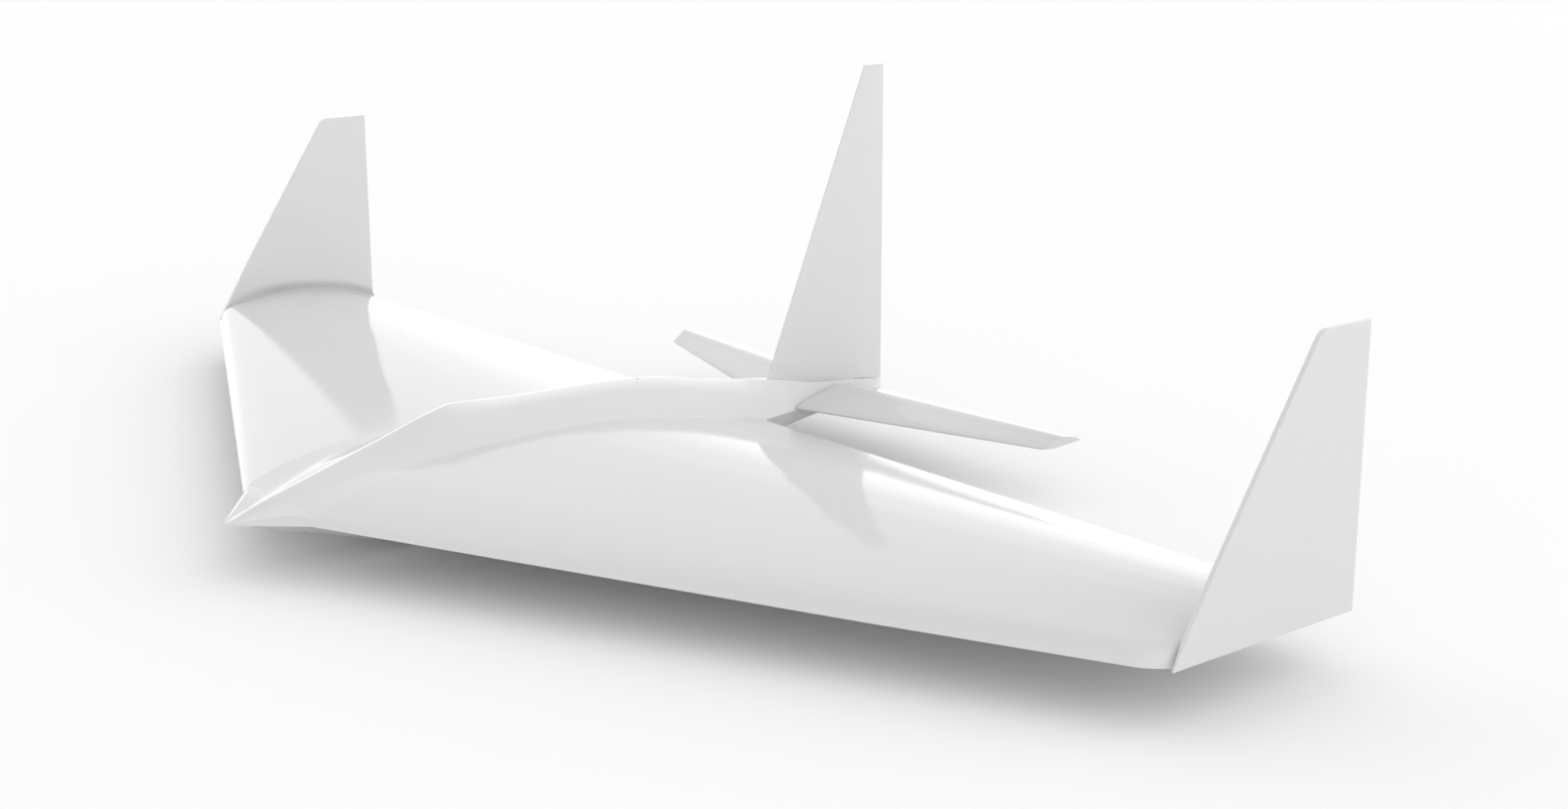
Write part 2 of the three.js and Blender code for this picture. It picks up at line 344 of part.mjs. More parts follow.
const rudRing = (z, gap, open) => {
  const r = rNose(z) + gap, ring = [];
  for (let k = 0; k <= 10; k++) { const a = Math.PI * (k / 10); ring.push([r * Math.cos(a), RUDDER_Y - r * Math.sin(a), z]); }
  if (open) { ring.push([-r, RUDDER_Y + 0.01, z], [-30, RUDDER_Y + 0.5, z], [-30, 640, z], [30, 640, z], [30, RUDDER_Y + 0.5, z], [r, RUDDER_Y + 0.01, z]); }
  else { const te = finTE(z); ring.push([-0.45, te, z], [0.45, te, z]); }
  return ring;
};
let rudder = loft([RUD_Z0, 80, 140, RUD_Z1].map((z) => rudRing(z, 0, false)));
// rudder bottom follows the boom ridge
rudder = rudder.add(loft([9.9, RUD_Z0].map((z) => rudRing(z, 0, false)))).subtract(loft([560, 575, 606.6, 625].map((y) => { const z = at(RIDGE, y) + 1.0; return [[30, y, z - 60], [30, y, z], [-30, y, z], [-30, y, z - 60]]; })));
let fin = finAll.subtract(boomTopCut).subtract(loft([-10, 40, 80, 140, RUD_Z1 + 0.6].map((z) => rudRing(z, HINGE_GAP, true))));
const rTube = cyl([0, RUDDER_Y, -2.4], [0, RUDDER_Y, 60], 1.3, 1.3, 14);
const rudPinTop = cyl([0, RUDDER_Y, RUD_Z1 - 12], [0, RUDDER_Y, RUD_Z1 + 9], 0.6, 0.6, 10);
rudder = rudder.subtract(cyl([0, RUDDER_Y, 5], [0, RUDDER_Y, 61], 1.6, 1.6, 14)).subtract(cyl([0, RUDDER_Y, RUD_Z1 - 13], [0, RUDDER_Y, RUD_Z1 + 2], 0.9, 0.9, 12));
fin = fin.subtract(cyl([0, RUDDER_Y, RUD_Z1 - 1], [0, RUDDER_Y, RUD_Z1 + 10], 0.9, 0.9, 12));
add('fin', largest(fin), 'skin');
add('rudder', largest(rudder), 'skin');
add('rudder_top_pin', rudPinTop, 'metal');

// tail control drive: two servos in the boom, equal arms and a parallel pushrod for each surface
const bar = (p0, p1, w) => { const d = V(...p1).sub(V(...p0)), L = d.length(), g = new THREE.BoxGeometry(w, L, 1.2); return g; };
const eS = [2, jY - 48.6, jZ - 3.6];                            // elevator servo shaft axis (along x)
const elevServo = box(3.4, 9.6, eS[1] - 12.4, eS[1] + 3.4, eS[2] - 7.6, eS[2] + 3.4).subtract(cyl([2, eS[1], eS[2]], [5.6, eS[1], eS[2]], 2.6, 2.6, 14));
const elevArm = prism([[eS[1] - 2.4, eS[2] + 2], [eS[1] + 2.4, eS[2] + 2], [eS[1] + 1.6, eS[2] - ARM - 1.6], [eS[1] - 1.6, eS[2] - ARM - 1.6]], 'x', 1.4, 2.6).add(cyl([2, eS[1], eS[2]], [5.2, eS[1], eS[2]], 2.2, 2.2, 14))
  .subtract(cyl([0, eS[1], eS[2] - ARM], [4, eS[1], eS[2] - ARM], 0.8, 0.8, 10));
const e0 = [0.2, eS[1], eS[2] - ARM], e1 = [0.2, jY, jZ - ARM];
const elevRod = cyl(e0, e1, 0.8, 0.8, 10).add(cyl([0, e0[1], e0[2]], [3, e0[1], e0[2]], 0.5, 0.5, 10)).add(cyl([0, e1[1], e1[2]], [3, e1[1], e1[2]], 0.5, 0.5, 10));
add('elevator_servo', elevServo, 'servo'); add('elevator_servo_arm', elevArm, 'dark'); add('elevator_pushrod', elevRod, 'metal');
const RARM = 5.2, rZ = 2.4;
const rS = [-6.4, 510];                                          // rudder servo shaft axis (along z)
const rudServo = box(-9.6, -2.2, rS[1] - 12, rS[1] + 4, rZ - 7.4, rZ - 1.2).subtract(cyl([rS[0], rS[1], rZ - 4], [rS[0], rS[1], rZ], 2.6, 2.6, 14));
const armFlat = (cx, cy) => prism([[cx + 2.2, cy - 2.2], [cx + 2.2, cy + 2.2], [cx - RARM - 1.4, cy + 1.3], [cx - RARM - 1.4, cy - 1.3]], 'z', rZ - 0.6, rZ + 0.6).subtract(cyl([cx - RARM, cy, rZ - 2], [cx - RARM, cy, rZ + 2], 0.8, 0.8, 10));
const rudArm = armFlat(rS[0], rS[1]).add(cyl([rS[0], rS[1], rZ - 3.4], [rS[0], rS[1], rZ], 2.1, 2.1, 14));
const rTubeHorn = rTube.add(armFlat(0, RUDDER_Y));
const r0 = [rS[0] - RARM, rS[1], rZ + 1.7], r1 = [-RARM, RUDDER_Y, rZ + 1.7];
const rudRod = cyl(r0, r1, 0.7, 0.7, 10).add(cyl([r0[0], r0[1], rZ - 1.1], [r0[0], r0[1], rZ + 2.1], 0.5, 0.5, 10)).add(cyl([r1[0], r1[1], rZ - 1.1], [r1[0], r1[1], rZ + 2.1], 0.5, 0.5, 10));
add('rudder_torque_tube', rTubeHorn, 'carbon'); add('rudder_servo', rudServo, 'servo'); add('rudder_servo_arm', rudArm, 'dark'); add('rudder_pushrod', rudRod, 'metal');

// ---------------------------------------------------------------- ducted fan
const ring = (yc, zc, phi, rx, rv, n = 20) => { const f = phi * Math.PI / 180; return Array.from({ length: n }, (_, i) => { const a = 2 * Math.PI * i / n, c = rx * Math.cos(a), v = rv * Math.sin(a); return [c, yc - v * Math.sin(f), zc + v * Math.cos(f)]; }); };
const duct = (path) => {
  const outer = loft(path.map(([y, z, p, rx, rv]) => ring(y, z, p, rx + 1, rv + 1)));
  const first = path[0], last = path[path.length - 1];
  const dirOf = (p) => [0, Math.cos(p * Math.PI / 180), Math.sin(p * Math.PI / 180)];
  const d0 = dirOf(first[2]), d1 = dirOf(last[2]);
  const inner = loft([ring(first[0] + d0[1] * 2, first[1] + d0[2] * 2, first[2], first[3], first[4]), ...path.map(([y, z, p, rx, rv]) => ring(y, z, p, rx, rv)), ring(last[0] - d1[1] * 2, last[1] - d1[2] * 2, last[2], last[3], last[4])]);
  return outer.subtract(inner);
};
add('intake_duct', duct([[295.6, FAN_Z, 0, 25.6, 25.6], [274, 2, 30, 24.5, 25], [258, -11, 60, 22.5, 24], [248, -33.2, 90, 20.4, 23.4]]), 'carbon');
const exPath = [[346.4, FAN_Z, 0, 25.6, 25.6], [372, 5, 0, 23, 23], [400, 4, 0, 20, 19], [425, 1.5, -8, 17.4, 14.5], [446, -2, -20, 14.5, 11], [462, -7, -38, 12.6, 9.4], [476, -13.4, -60, 12, 9]];
add('exhaust_duct', duct([...exPath].reverse()), 'carbon');
const housing = ringTube([0, 296, FAN_Z], [0, 346, FAN_Z], 27, 25.6, 40);
let vanes = ringTube([0, 318, FAN_Z], [0, 342, FAN_Z], 12.6, 11.4, 28);
for (let k = 0; k < 5; k++) {
  const g = new THREE.BoxGeometry(13.6, 20, 1.2); g.translate(19, 331, 0);
  vanes = vanes.add(solid(place(g, new THREE.Matrix4().makeTranslation(0, 0, FAN_Z).multiply(new THREE.Matrix4().makeRotationY(k * 2 * Math.PI / 5)))));
}
add('fan_housing', housing.add(vanes), 'dark');
add('fan_motor', cyl([0, 317, FAN_Z], [0, 345, FAN_Z], 11.1, 11.1, 24).add(cyl([0, 311.9, FAN_Z], [0, 317, FAN_Z], 1.5, 1.5, 14)), 'metal');
const hubProfile = [[0, 299], [3.5, 299.6], [7, 301.6], [9.6, 305], [10.6, 309], [10.6, 315.6], [0, 315.6]].map(([r, y]) => new THREE.Vector2(r, y));
const hubGeo = new THREE.LatheGeometry(hubProfile, 24); hubGeo.translate(0, 0, -0);
let rotor = solid(place(hubGeo, new THREE.Matrix4().makeTranslation(0, 0, FAN_Z))).subtract(cyl([0, 309, FAN_Z], [0, 318, FAN_Z], 1.8, 1.8, 14));
for (let k = 0; k < 7; k++) {
  const stations = [9.5, 15, 20, FAN_R].map((r, i) => { const tw = (38 + i * 9) * Math.PI / 180, c = [5.5, 6, 5.8, 4.8][i], t = 0.5; const cs = Math.cos(tw), sn = Math.sin(tw);
    return [[c, t], [-c, t * 0.6], [-c, -t * 0.6], [c, -t]].map(([q, w]) => { const yy = 308.5 + q * cs - w * sn, tt = q * sn + w * cs; const rr = Math.sqrt(Math.max(r * r - tt * tt, 1)); return [rr, yy, tt]; }); });
  const blade = geometryOf(loft(stations));
  rotor = rotor.add(solid(place(blade, new THREE.Matrix4().makeTranslation(0, 0, FAN_Z).multiply(new THREE.Matrix4().makeRotationY(k * 2 * Math.PI / 7)))));
}
add('fan_rotor', largest(rotor), 'dark');
let grille = box(INTAKE[0] + 0.4, INTAKE[1] - 0.4, INTAKE[2] + 0.4, INTAKE[3] - 0.4, -BELLY, -BELLY + 1.8);
for (let k = 0; k < 6; k++) grille = grille.subtract(box(-18.4, 18.4, 227.5 + k * 7.1, 232.6 + k * 7.1, -60, 0));
add('intake_grille', grille, 'dark');

// ---------------------------------------------------------------- structure and equipment
const ringPlate = (y0, y1, cut) => { const o = loft([y0, y1].map((y) => cavityRing(y).map(([x, yy, z]) => [x * 0.982, yy, z > 0 ? z - 0.9 : z + 0.6]))); return cut ? o.subtract(cut) : o; };
const sparBlock = box(-47, 47, 186.5, 208.5, 3.6, 16.4).add(box(-30, 30, 186.5, 208.5, 3.6, 18)).subtract(box(-21, 21, 180, 215, 11, 40));
const carrierBore = cyl(sparLine(21), sparLine(64), 4.3, 4.3, 20);
add('spar_carrier', sparBlock.subtract(carrierBore).subtract(mirror(carrierBore)), 'ply');
add('battery_tray', box(-19.5, 19.5, 97, 184, -19.8, -18.4).add(box(-19.5, -18.3, 97, 184, -18.6, -12)).add(box(18.3, 19.5, 97, 184, -18.6, -12)), 'ply');
add('battery', prism([[-17.2, -16], [-16, -17.8], [16, -17.8], [17.2, -16], [17.2, 9], [16, 10.4], [-16, 10.4], [-17.2, 9]], 'y', 98, 180), 'battery');
const strapOuter = box(-21.4, 21.4, 128, 146, -21.2, 12), strapInner = box(-20.2, 20.2, 120, 150, -20.2, 10.9);
add('battery_strap', strapOuter.subtract(strapInner), 'strap');
add('flight_controller', box(-17, 17, 213, 238, 11.6, 13.4).add(box(-14, 14, 215, 236, 13.3, 22)).add(box(-12, 12, 210.8, 213.2, 11.9, 16)), 'board');
add('equipment_deck', box(-21, 21, 209.5, 240, 9.6, 11.2), 'ply');
add('satellite_receiver', box(-11, 11, 187, 208, 14.6, 21).add(box(-8, 8, 190, 205, 20.9, 22.4)).add(box(-3, 3, 195, 200, 11.4, 14.8)), 'dark');
add('speed_controller', box(-13, 13, 190, 219, -31, -23).add(box(-11, 11, 192, 217, -23.1, -19)), 'dark');
add('radio_receiver', box(28, 44, 220, 250, 4, 11).add(box(30, 42, 223, 247, 10.9, 13)), 'dark');
console.error('done', Object.keys(nodes).length, JSON.stringify({ eA, eB, ailA, ailB, pinAxis: pinAxis[0], jY, jZ, eS, rS, sAx }));
export default drone;
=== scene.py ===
import json
import math

import bpy
import numpy as np
from mathutils import Matrix, Vector


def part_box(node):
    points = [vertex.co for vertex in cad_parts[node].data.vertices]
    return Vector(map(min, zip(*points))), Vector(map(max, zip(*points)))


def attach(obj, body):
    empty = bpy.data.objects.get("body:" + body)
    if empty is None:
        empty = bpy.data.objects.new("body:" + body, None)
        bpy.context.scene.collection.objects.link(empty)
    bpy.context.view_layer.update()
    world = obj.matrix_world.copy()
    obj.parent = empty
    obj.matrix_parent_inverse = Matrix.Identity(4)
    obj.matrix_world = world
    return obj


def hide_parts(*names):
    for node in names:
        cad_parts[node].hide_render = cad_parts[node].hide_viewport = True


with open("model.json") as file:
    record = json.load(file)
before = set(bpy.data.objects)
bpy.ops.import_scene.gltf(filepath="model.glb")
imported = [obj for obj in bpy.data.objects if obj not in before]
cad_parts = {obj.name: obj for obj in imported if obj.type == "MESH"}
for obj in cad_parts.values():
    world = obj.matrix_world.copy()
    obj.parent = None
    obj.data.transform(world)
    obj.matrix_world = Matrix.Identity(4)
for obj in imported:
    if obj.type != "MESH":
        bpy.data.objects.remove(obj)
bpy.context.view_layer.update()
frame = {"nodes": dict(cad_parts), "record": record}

# ------------------------------------------------------------------ dimensions (mm, nose tip origin, datum plane z = 0)
HALF_SPAN, KX, KY, TIP_LE, TE, STERN = 600.0, 50.0, 41.58, 292.8, 459.3, 607.0
Y_MID, BELLY = 303.73, 36.0
HINGE_T, AIL_IN, AIL_OUT = 0.78, 215.0, 556.0
WL0, WL1 = 596.8, 600.4
RUDDER_Y = 575.0
HATCH_FRONT, HATCH_REAR = 31.0, 352.0
SEAM = 0.03
LIFT = 3.2

RIDGE = [(0,0),(7.9,3.8),(67.7,22.5),(120,38.3),(174.2,54.7),(182.9,56.4),(237,53.4),(305.3,51.7),(340.7,50.2),(352,49.1),(363.2,48),(387,44.3),(399.5,41.2),(450.2,32.6),(483.6,27),(500,24),(520,19.5),(545,16),(575,13),(606.6,8.6)]
SHOULDER_W = [(0,0),(20,5),(38,11),(70,22),(110,29),(150,32),(250,33),(360,31),(459,27)]
SHOULDER_Z = [(0,0),(20,5),(38,10.3),(70,18.9),(87.5,22.8),(104,25.4),(125,27.4),(167,29.8),(209,31.6),(250,32.2),(292,30.8),(313,29.15),(334,26.65),(359,22.66),(367.4,21.086),(388.3,16.85),(417.5,10.5),(438.4,6.05),(459.3,1.8)]
DEPTH = [(0,0),(16,2.4),(24,5),(42,10),(60,13.5),(82,19.4),(120,30),(150,35.95),(360,35.95),(400,32),(459,21),(500,13),(530,9),(606,3.6)]
KEEL_W = [(0,0),(24,6),(60,15),(90,20),(150,24),(360,24),(459,14),(530,8),(590,4),(606.6,1)]
CHINE_W = [(0,0),(24,14),(42,26),(70,34),(150,39),(360,38),(459,26)]
BOOM_W = [(459,27),(498,19.5),(530,15.5),(560,12.5),(590,9),(600,6),(606.6,2)]
ROOT_SEC = [(0,0),(.0096,8.2),(.025,11.4),(.045,14.6),(.063,17.4),(.11,22.3),(.15,25.4),(.2,27.4),(.3,29.8),(.4,31.6),(.5,32.2),(.6,30.8),(.65,29.15),(.7,26.65),(.76,22.66),(.78,21.086),(.83,16.85),(.9,10.5),(.95,6.05),(1,1.8)]
TIP_SEC = [(0,0),(.0096,6),(.025,10.6),(.063,14.0),(.11,15.4),(.15,16.3),(.2,17.5),(.3,19.5),(.4,20.3),(.5,20),(.6,18.6),(.65,17.55),(.7,16.2),(.76,14.42),(.78,13.671),(.83,11.4),(.9,7.9),(.95,4.95),(1,1.5)]
TR_UP = [(0,3.6),(.04,6.4),(.15,9.2),(.35,12.8),(.56,15.9),(.66,14.2),(.8,11.4),(1,4.2)]
TR_LO = [(0,3.6),(.04,2),(.3,.2),(.6,.2),(.66,.488),(.85,1.4),(1,2.8)]
TT_UP = [(0,3.9),(.04,5.0),(.15,6.7),(.35,9.4),(.56,12.1),(.66,11.636),(.8,11),(1,8.9)]
TT_LO = [(0,3.9),(.04,3.2),(.3,3.4),(.6,5),(.66,5.432),(.85,6.8),(1,7.9)]
T_ROOT, T_TIP = ((20.5, 498), (13.5, 590.5)), ((233.4, 563.4), (243.6, 594))
ELEV_T, ELEV_IN, ELEV_OUT = 0.66, 0.006, 0.965


def curve(table, root=False):
    """Monotone cubic through the table; with root the abscissa is sqrt(x), for a round leading edge."""
    xs = np.array([p[0] for p in table], float)
    ys = np.array([p[1] for p in table], float)
    if root:
        xs = np.sqrt(xs)
    h, d = np.diff(xs), np.diff(ys) / np.diff(xs)
    m = np.zeros(len(xs))
    for i in range(1, len(xs) - 1):
        if d[i - 1] * d[i] > 0:
            w1, w2 = 2 * h[i] + h[i - 1], h[i] + 2 * h[i - 1]
            m[i] = (w1 + w2) / (w1 / d[i - 1] + w2 / d[i])
    m[0], m[-1] = d[0], d[-1]

    def f(v):
        q = np.asarray(v, float)
        if root:
            q = np.sqrt(np.clip(q, 0, None))
        q = np.clip(q, xs[0], xs[-1])
        i = np.clip(np.searchsorted(xs, q, side="right") - 1, 0, len(h) - 1)
        t = (q - xs[i]) / h[i]
        r = ((2*t**3 - 3*t**2 + 1) * ys[i] + (t**3 - 2*t**2 + t) * h[i] * m[i] + (-2*t**3 + 3*t**2) * ys[i + 1] + (t**3 - t**2) * h[i] * m[i + 1])
        return float(r) if np.ndim(v) == 0 else r
    return f


ridge, sh_w, sh_z, depth, keel_w, chine_w, boom_w = map(curve, (RIDGE, SHOULDER_W, SHOULDER_Z, DEPTH, KEEL_W, CHINE_W, BOOM_W))
root_sec, tip_sec = curve(ROOT_SEC, True), curve(TIP_SEC, True)
tr_up, tt_up = curve(TR_UP, True), curve(TT_UP, True)
tr_lo, tt_lo = curve(TR_LO, True), curve(TT_LO, True)
lerp = lambda a, b, t: a + (b - a) * t


# ------------------------------------------------------------------ mesh helpers
def P(p):
    return (p[0] / 1000.0, (p[1] - Y_MID) / 1000.0, (p[2] + BELLY) / 1000.0)


def new_object(name, verts, faces):
    me = bpy.data.meshes.new(name)
    me.from_pydata([P(v) for v in verts], [], faces)
    me.validate()
    me.update()
    ob = bpy.data.objects.new(name, me)
    bpy.context.scene.collection.objects.link(ob)
    return ob


def fix_normals(ob):
    import bmesh
    bm = bmesh.new()
    bm.from_mesh(ob.data)
    bmesh.ops.remove_doubles(bm, verts=bm.verts, dist=1e-7)
    bmesh.ops.dissolve_degenerate(bm, edges=bm.edges, dist=1e-7)
    bmesh.ops.recalc_face_normals(bm, faces=bm.faces)
    if bm.calc_volume(signed=True) < 0:
        bmesh.ops.reverse_faces(bm, faces=bm.faces)
    bm.to_mesh(ob.data)
    bm.free()
    return ob


def loft(name, rings, tip0=False, tip1=False):
    """Closed surface through closed rings of points, each end capped with one flat face. The arguments tip0 and tip1
    are not used.
    """
    n = len(rings[0])
    verts = [tuple(p) for r in rings for p in r]
    faces = []
    for i in range(len(rings) - 1):
        for j in range(n):
            a, b = i * n + j, i * n + (j + 1) % n
            faces.append((a, b, b + n, a + n))
    faces.append(tuple(range(n - 1, -1, -1)))
    last = (len(rings) - 1) * n
    faces.append(tuple(range(last, last + n)))
    return fix_normals(new_object(name, verts, faces))


def prism(name, outline, axis, a, b):
    put = {"x": lambda u, v, w: (w, u, v), "y": lambda u, v, w: (u, w, v), "z": lambda u, v, w: (u, v, w)}[axis]
    return loft(name, [[put(u, v, a) for u, v in outline], [put(u, v, b) for u, v in outline]])


def box(name, x0, x1, y0, y1, z0, z1):
    return prism(name, [(x0, y0), (x1, y0), (x1, y1), (x0, y1)], "z", z0, z1)


def rod(name, a, b, r, seg=32):
    a, b = Vector(a), Vector(b)
    d = (b - a).normalized()
    u = d.orthogonal().normalized()
    w = d.cross(u)
    ring = lambda c: [tuple(c + (u * math.cos(2 * math.pi * i / seg) + w * math.sin(2 * math.pi * i / seg)) * r) for i in range(seg)]
    return loft(name, [ring(a), ring(b)])


def copy(ob, name):
    c = ob.copy()
    c.data = ob.data.copy()
    c.name = name
    c.data.name = name
    bpy.context.scene.collection.objects.link(c)
    return c


def cut(ob, *tools, op="DIFFERENCE", keep=False):
    for t in tools:
        m = ob.modifiers.new("cut", "BOOLEAN")
        m.operation, m.object, m.solver = op, t, "MANIFOLD"
    bpy.context.view_layer.update()
    dg = bpy.context.evaluated_depsgraph_get()
    me = bpy.data.meshes.new_from_object(ob.evaluated_get(dg))
    old = ob.data
    ob.modifiers.clear()
    ob.data = me
    bpy.data.meshes.remove(old)
    me.name = ob.name
    if not keep:
        for t in tools:
            bpy.data.objects.remove(t)
    return ob


def largest(ob):
    """Keeps the biggest connected part."""
    import bmesh
    bm = bmesh.new()
    bm.from_mesh(ob.data)
    seen, groups = set(), []
    for v in bm.verts:
        if v.index in seen:
            continue
        stack, group = [v], []
        seen.add(v.index)
        while stack:
            q = stack.pop()
            group.append(q)
            for e in q.link_edges:
                o = e.other_vert(q)
                if o.index not in seen:
                    seen.add(o.index)
                    stack.append(o)
        groups.append(group)
    if len(groups) > 1:
        size = lambda g: (lambda c: float(np.prod(c.max(0) - c.min(0) + 1e-6)))(np.array([v.co for v in g]))
        best = max(groups, key=size)
        drop = [v for g in groups if g is not best for v in g]
        bmesh.ops.delete(bm, geom=drop, context="VERTS")
    bm.to_mesh(ob.data)
    bm.free()
    return ob


def mirrored(ob, name):
    c = copy(ob, name)
    co = np.empty(len(c.data.vertices) * 3)
    c.data.vertices.foreach_get("co", co)
    co[0::3] *= -1
    c.data.vertices.foreach_set("co", co)
    c.data.flip_normals()
    return c


def smooth(ob, angle=28, weld=0.002):
    import bmesh
    bm = bmesh.new()
    bm.from_mesh(ob.data)
    bmesh.ops.remove_doubles(bm, verts=bm.verts, dist=weld / 1000.0)
    bmesh.ops.dissolve_degenerate(bm, edges=bm.edges, dist=weld / 2000.0)
    bm.to_mesh(ob.data)
    bm.free()
    ob.data.shade_smooth()
    ob.data.set_sharp_from_angle(angle=math.radians(angle))
    return ob


# ------------------------------------------------------------------ wing
def y_le(x):
    x = abs(x)
    return KY * x / KX if x <= KX else lerp(KY, TIP_LE, (x - KX) / (HALF_SPAN - KX))


def wing_up(x, t):
    return lerp(root_sec(t), tip_sec(t), (abs(x) - KX) / (HALF_SPAN - KX))


def edge_lift(x):
    """Height of the sharp leading edge over the flat under side."""
    x = abs(x)
    return LIFT * (x / KX if x < KX else max(0.0, 1 - (x - KX) / 380.0))


def lifted(x, z):
    e = edge_lift(x)
    return np.where(z < 8.0, e + z * (1 - e / 8.0), z)


def under(x, back):
    """Under side height at a distance back from the leading edge."""
    return edge_lift(x) * max(0.0, 1 - back / 26.0) ** 1.6


def wing_z(x, y):
    le = y_le(x)
    t = np.clip((y - le) / (TE - le), 0, 1)
    z = wing_up(x, t)
    return np.where(t < 0.5, lifted(x, z), z)


T_TOP = np.concatenate([np.linspace(0, 1, 15)[:-1] ** 2 * 0.02, np.linspace(0.02, 0.12, 16)[:-1], np.linspace(0.12, 0.96, 64)[:-1], np.linspace(0.96, 1, 6)])
FOOT = 4.0          # blend radius between wing and winglet


def wing_ring(x):
    le, extra = y_le(x), 0.0
    tipward = (x - (WL0 - 19.0)) / 19.0                  # the nose rounds off beside the winglet
    if tipward > 0:
        le += 15.0 * (1 - math.sqrt(max(0, 1 - min(tipward, 0.999) ** 2)))
    c = TE - le
    rise = (x - (WL0 - FOOT)) / FOOT
    ring = []
    for t in T_TOP:
        z = float(lifted(x, wing_up(x, t))) if t < 0.5 else float(wing_up(x, t))
        if rise > 0:
            r = FOOT * min(1, max(0, (t - 0.012) / 0.16)) ** 0.6
            u = (x - (WL0 - r)) / max(r, 1e-6)
            if r > 0.05 and u > 0:
                z += r * (1 - math.sqrt(max(0, 1 - min(u, 0.9995) ** 2)))
        ring.append((x, le + t * c, z))
    low = [(x, TE, 0.25), (x, TE - 0.25, 0.0)] + [(x, y, 0.0) for y in np.linspace(TE - 0.03 * c, le + 31, 22)]
    low += [(x, le + b, under(x, b)) for b in (27, 22, 17, 12, 8, 5, 3, 1.6, 0.8)] + [(x, le + 0.25, under(x, 0.25) + 0.03)]
    return ring + low


def wing_block(name, x0, x1):
    xs = [x0] + [v for v in np.linspace(KX, WL0 - 20, 70) if x0 + 1 < v < x1] + [v for v in (WL0 - 19.0) + 19.0 * np.sin(np.linspace(0.02, 1, 30) * math.pi / 2) if v < x1 - 0.02] + [x1]
    return loft(name, [wing_ring(x) for x in xs])


def hinge_pt(x):
    y = y_le(x) + HINGE_T * (TE - y_le(x))
    return (x, y, float(wing_up(x, HINGE_T)) / 2)


def surface(name, A, B, s0, s1, up, lo, edge, gap, reach_out=0, n=24):
    """Control surface with a round nose on the line A-B, or, with reach_out, the room it needs."""
    dx, dy = B[0] - A[0], B[1] - A[1]
    L = math.hypot(dx, dy)
    ux, uy = -dy / L, dx / L
    rings = []
    for s in np.linspace(s0, s1, n):
        cx, cy = lerp(A[0], B[0], s), lerp(A[1], B[1], s)
        zu, zl = float(up(cx, cy)), float(lo(cx, cy))
        zc, r = (zu + zl) / 2, (zu - zl) / 2 + gap
        ring = []
        for k in range(25):
            a = math.pi / 2 + math.pi * k / 24
            ring.append((cx + ux * r * math.cos(a), cy + uy * r * math.cos(a), zc + r * math.sin(a)))
        if reach_out:
            for q, z in ((0, -60), (reach_out, -60), (reach_out, 90), (0, 90)):
                ring.append((cx + ux * q, cy + uy * q, z))
        else:
            reach = (edge(cx, cy) - cy) / uy
            for d in (0.13 * r, 0.26 * r, 0.385 * r):        # relieved just aft of the hinge, so it clears the cove when it turns
                ring.append((cx + ux * d, cy + uy * d, zc - math.sqrt(r * r - d * d)))
            fs = np.linspace(max(0.06, 0.55 * r / reach), 1, 16)
            for f in fs:
                x, y = cx + ux * f * reach, cy + uy * f * reach
                ring.append((x, y, float(lo(x, y))))
            for f in fs[::-1]:
                x, y = cx + ux * f * reach, cy + uy * f * reach
                ring.append((x, y, float(up(x, y))))
        rings.append(ring)
    return loft(name, rings)


A, B = hinge_pt(AIL_IN), hinge_pt(AIL_OUT)
on_axis = lambda s: tuple(lerp(A[k], B[k], s) for k in range(3))
wing = wing_block("wing_left_visual", KX + SEAM, WL0 - 0.06)
cut(wing, surface("room", A, B, -0.0003, 1.0003, wing_z, lambda x, y: 0.0, None, 0.05, 130, n=60))
sax = on_axis(-0.075)
cut(wing, box("sb", sax[0] - 27.4, sax[0] - 0.6, sax[1] - 19.4, sax[1] + 5.4, 1.0, 14.8))
cut(wing, box("sc", sax[0] - 28.85, sax[0] + 0.85, sax[1] - 20.85, sax[1] + 6.85, -1, 1.5))
cut(wing, rod("r1", on_axis(-0.09), on_axis(0.02), 2.6), rod("r2", on_axis(0.98), on_axis(1.055), 1.4))
spar_pt = lambda x: (x, y_le(x) + 0.38 * (TE - y_le(x)), 9.6)
cut(wing, rod("r3", spar_pt(48), spar_pt(540), 6.0))
cut(wing, rod("r4", (30, 395, 6.2), (66, 395, 6.2), 2.3))
for yy, zz in ((355, 8.5), (430, 5.6)):
    cut(wing, rod("r5", (WL0 - 10.4, yy, zz), (WL0 + 3, yy, zz), 1.9))
aileron = surface("aileron_left_visual", A, B, 0, 1, wing_z, lambda x, y: 0.0, lambda x, y: TE, 0.0, n=60)
cut(aileron, rod("r6", on_axis(-0.02), on_axis(0.165), 2.3), rod("r7", on_axis(0.95), on_axis(1.02), 1.4))
cover = box("servo_cover_left_visual", sax[0] - 28.7, sax[0] + 0.7, sax[1] - 20.7, sax[1] + 6.7, 0, 1.2)


# ------------------------------------------------------------------ centre body
def bez(a, c, b, n):
    return [tuple((1 - t) ** 2 * a[k] + 2 * t * (1 - t) * c[k] + t * t * b[k] for k in (0, 1)) for t in np.linspace(0, 1, n)]


def toward(p, q, d):
    L = math.hypot(q[0] - p[0], q[1] - p[1])
    f = min(d / max(L, 1e-6), 0.42)
    return (lerp(p[0], q[0], f), lerp(p[1], q[1], f))


def span(a, b, n):
    return [(lerp(a[0], b[0], t), lerp(a[1], b[1], t)) for t in np.linspace(0, 1, n + 2)[1:-1]]


def apex_rho(y):
    return min(3.0, max(0.9, 3.4 * (ridge(y) - sh_z(y)) / sh_w(y)))


facet_x = curve([(0, 0), (18.5, 17.0), (37.5, 36.0), (45.6, KX - 0.4), (60, KX - 0.4)])
facet_z = curve([(0, 0.4), (18.5, 4.2), (37.5, 8.4), (45.6, float(wing_z(KX, 45.6)))])


